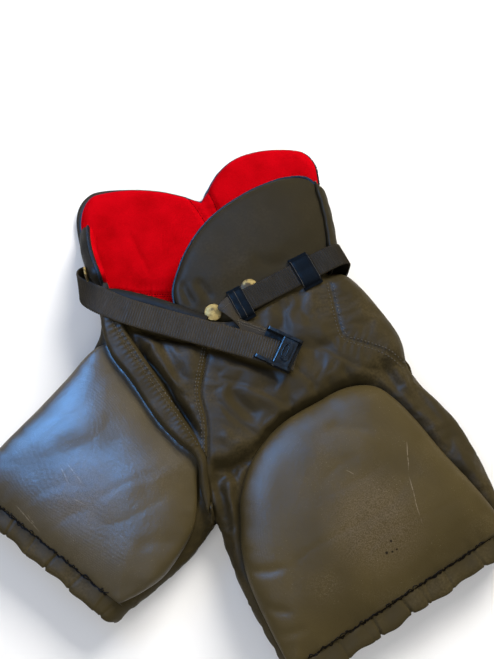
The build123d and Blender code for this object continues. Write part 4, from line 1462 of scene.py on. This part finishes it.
SHELLS = {}
for side in ("left", "right"):
    SHELLS[side] = shell(side)
    parts = [f"leg_{part}_{side}" for part in ("back", "front", "inseam", "outseam")]
    parts += [f"front_panel_{side}", f"side_panel_{side}"]
    parts += ["seat_panel"] if side == "left" else ["fly_gusset"]
    finish_piece(SHELLS[side], CLOTH, stands_for=parts)
trees = {side: surface(SHELLS[side]) for side in SHELLS}
seam_lines = {
    "left": [beside(YOKE, 2.6), beside(YOKE, -2.6)],
    "right": [beside(CENTRE[:6], -2.8), beside(CENTRE[:6], -5.2)],
}
for side, lines in seam_lines.items():
    sewn = stitches(f"seam_stitching_{side}", trees[side], lines, 3.4, 2.0, 0.55)
    finish_piece(sewn, THREAD)
    bend(sewn, side)
    bend(SHELLS[side], side)
for side in SIDES:
    trim = surface(thigh_pad(side), cuff(side))
    rough_rows = [ragged(SIDES[side]["pad_end"][2:4], seed) for seed in range(3)]
    sewn = stitches(f"hem_groove_{side}", trim, rough_rows, 1.6, 2.6, 0.55)
    finish_piece(sewn, DARK_THREAD, f"leg_{side}")
hip_pad_left()
kidney_pads()
side_wrap()
hip_pad_right()
patch()
belt()
belt_end()
loop("belt_loop_wide_cloth", 72.3, 20, "belt_loop_wide", (-0.9, 0.9))
loop("belt_loop_narrow_cloth", 2.5, 15, "belt_loop_narrow", (-0.92, -0.1, 0.92))
waistband()
lever_ridge()
crotch_gusset()
groin_roll()
for side in SIDES:
    for number in (1, 2):
        button(side, number)
carried_nodes()


# ---- studio ----
FLOOR_SIZE = 8.0                 # metres
WORLD_LIGHT = 0.34
LIGHT_AIM = (0, 0.05, 0.03)
# Each light's name, place, size, power and colour, and whether it lights surfaces and shows in reflections.
LIGHTS = (
    ("window_sheen", (-0.76, 0.62, 1.20), 0.5, 215, (0.12, 0.42, 1.0), False, True),
    ("key", (0.75, 1.35, 1.35), 1.0, 53, (1.0, 0.95, 0.88), True, False),
    ("fill", (-0.5, -1.2, 1.9), 1.6, 19, (1.0, 0.98, 0.95), True, True),
)


def studio():
    """A pale floor, soft warm light from beyond the waist, and the cool sheen of a softbox at the left."""
    bpy.ops.mesh.primitive_plane_add(size=FLOOR_SIZE, location=(0, 0, 0))
    floor = bpy.context.object
    floor.name = "studio_floor"
    floor.data.materials.append(floor_material())
    bpy.context.scene.view_settings.view_transform = "Standard"
    world = bpy.data.worlds.new("studio")
    bpy.context.scene.world = world
    world.use_nodes = True
    backdrop = world.node_tree.nodes["Background"]
    backdrop.inputs["Color"].default_value = (0.96, 0.97, 1.0, 1)
    backdrop.inputs["Strength"].default_value = WORLD_LIGHT
    for name, place, size, power, colour, diffuse, glossy in LIGHTS:
        light = bpy.data.lights.new(name, "AREA")
        light.size = size
        light.energy = power
        light.color = colour
        holder = bpy.data.objects.new(name, light)
        holder.location = place
        holder.rotation_euler = (Vector(LIGHT_AIM) - Vector(place)).to_track_quat("-Z", "Y").to_euler()
        holder.visible_diffuse = diffuse
        holder.visible_glossy = glossy
        bpy.context.scene.collection.objects.link(holder)


CAMERA_AIM = (0.0109, 0.0579, 0.050)
CAMERA_FAR = 0.870
CAMERA_RISE = math.radians(74)
CAMERA_LENS, CAMERA_SENSOR = 50, 36


def camera():
    """The camera, over the pants and a little towards the legs."""
    data = bpy.data.cameras.new("camera")
    data.lens = CAMERA_LENS
    data.sensor_fit = "VERTICAL"
    data.sensor_height = CAMERA_SENSOR
    holder = bpy.data.objects.new("camera", data)
    aim = Vector(CAMERA_AIM)
    back = Vector((0, -math.cos(CAMERA_RISE), math.sin(CAMERA_RISE)))
    holder.location = aim + back * CAMERA_FAR
    holder.rotation_euler = (-back).to_track_quat("-Z", "Y").to_euler()
    bpy.context.scene.collection.objects.link(holder)
    bpy.context.scene.camera = holder


studio()
camera()
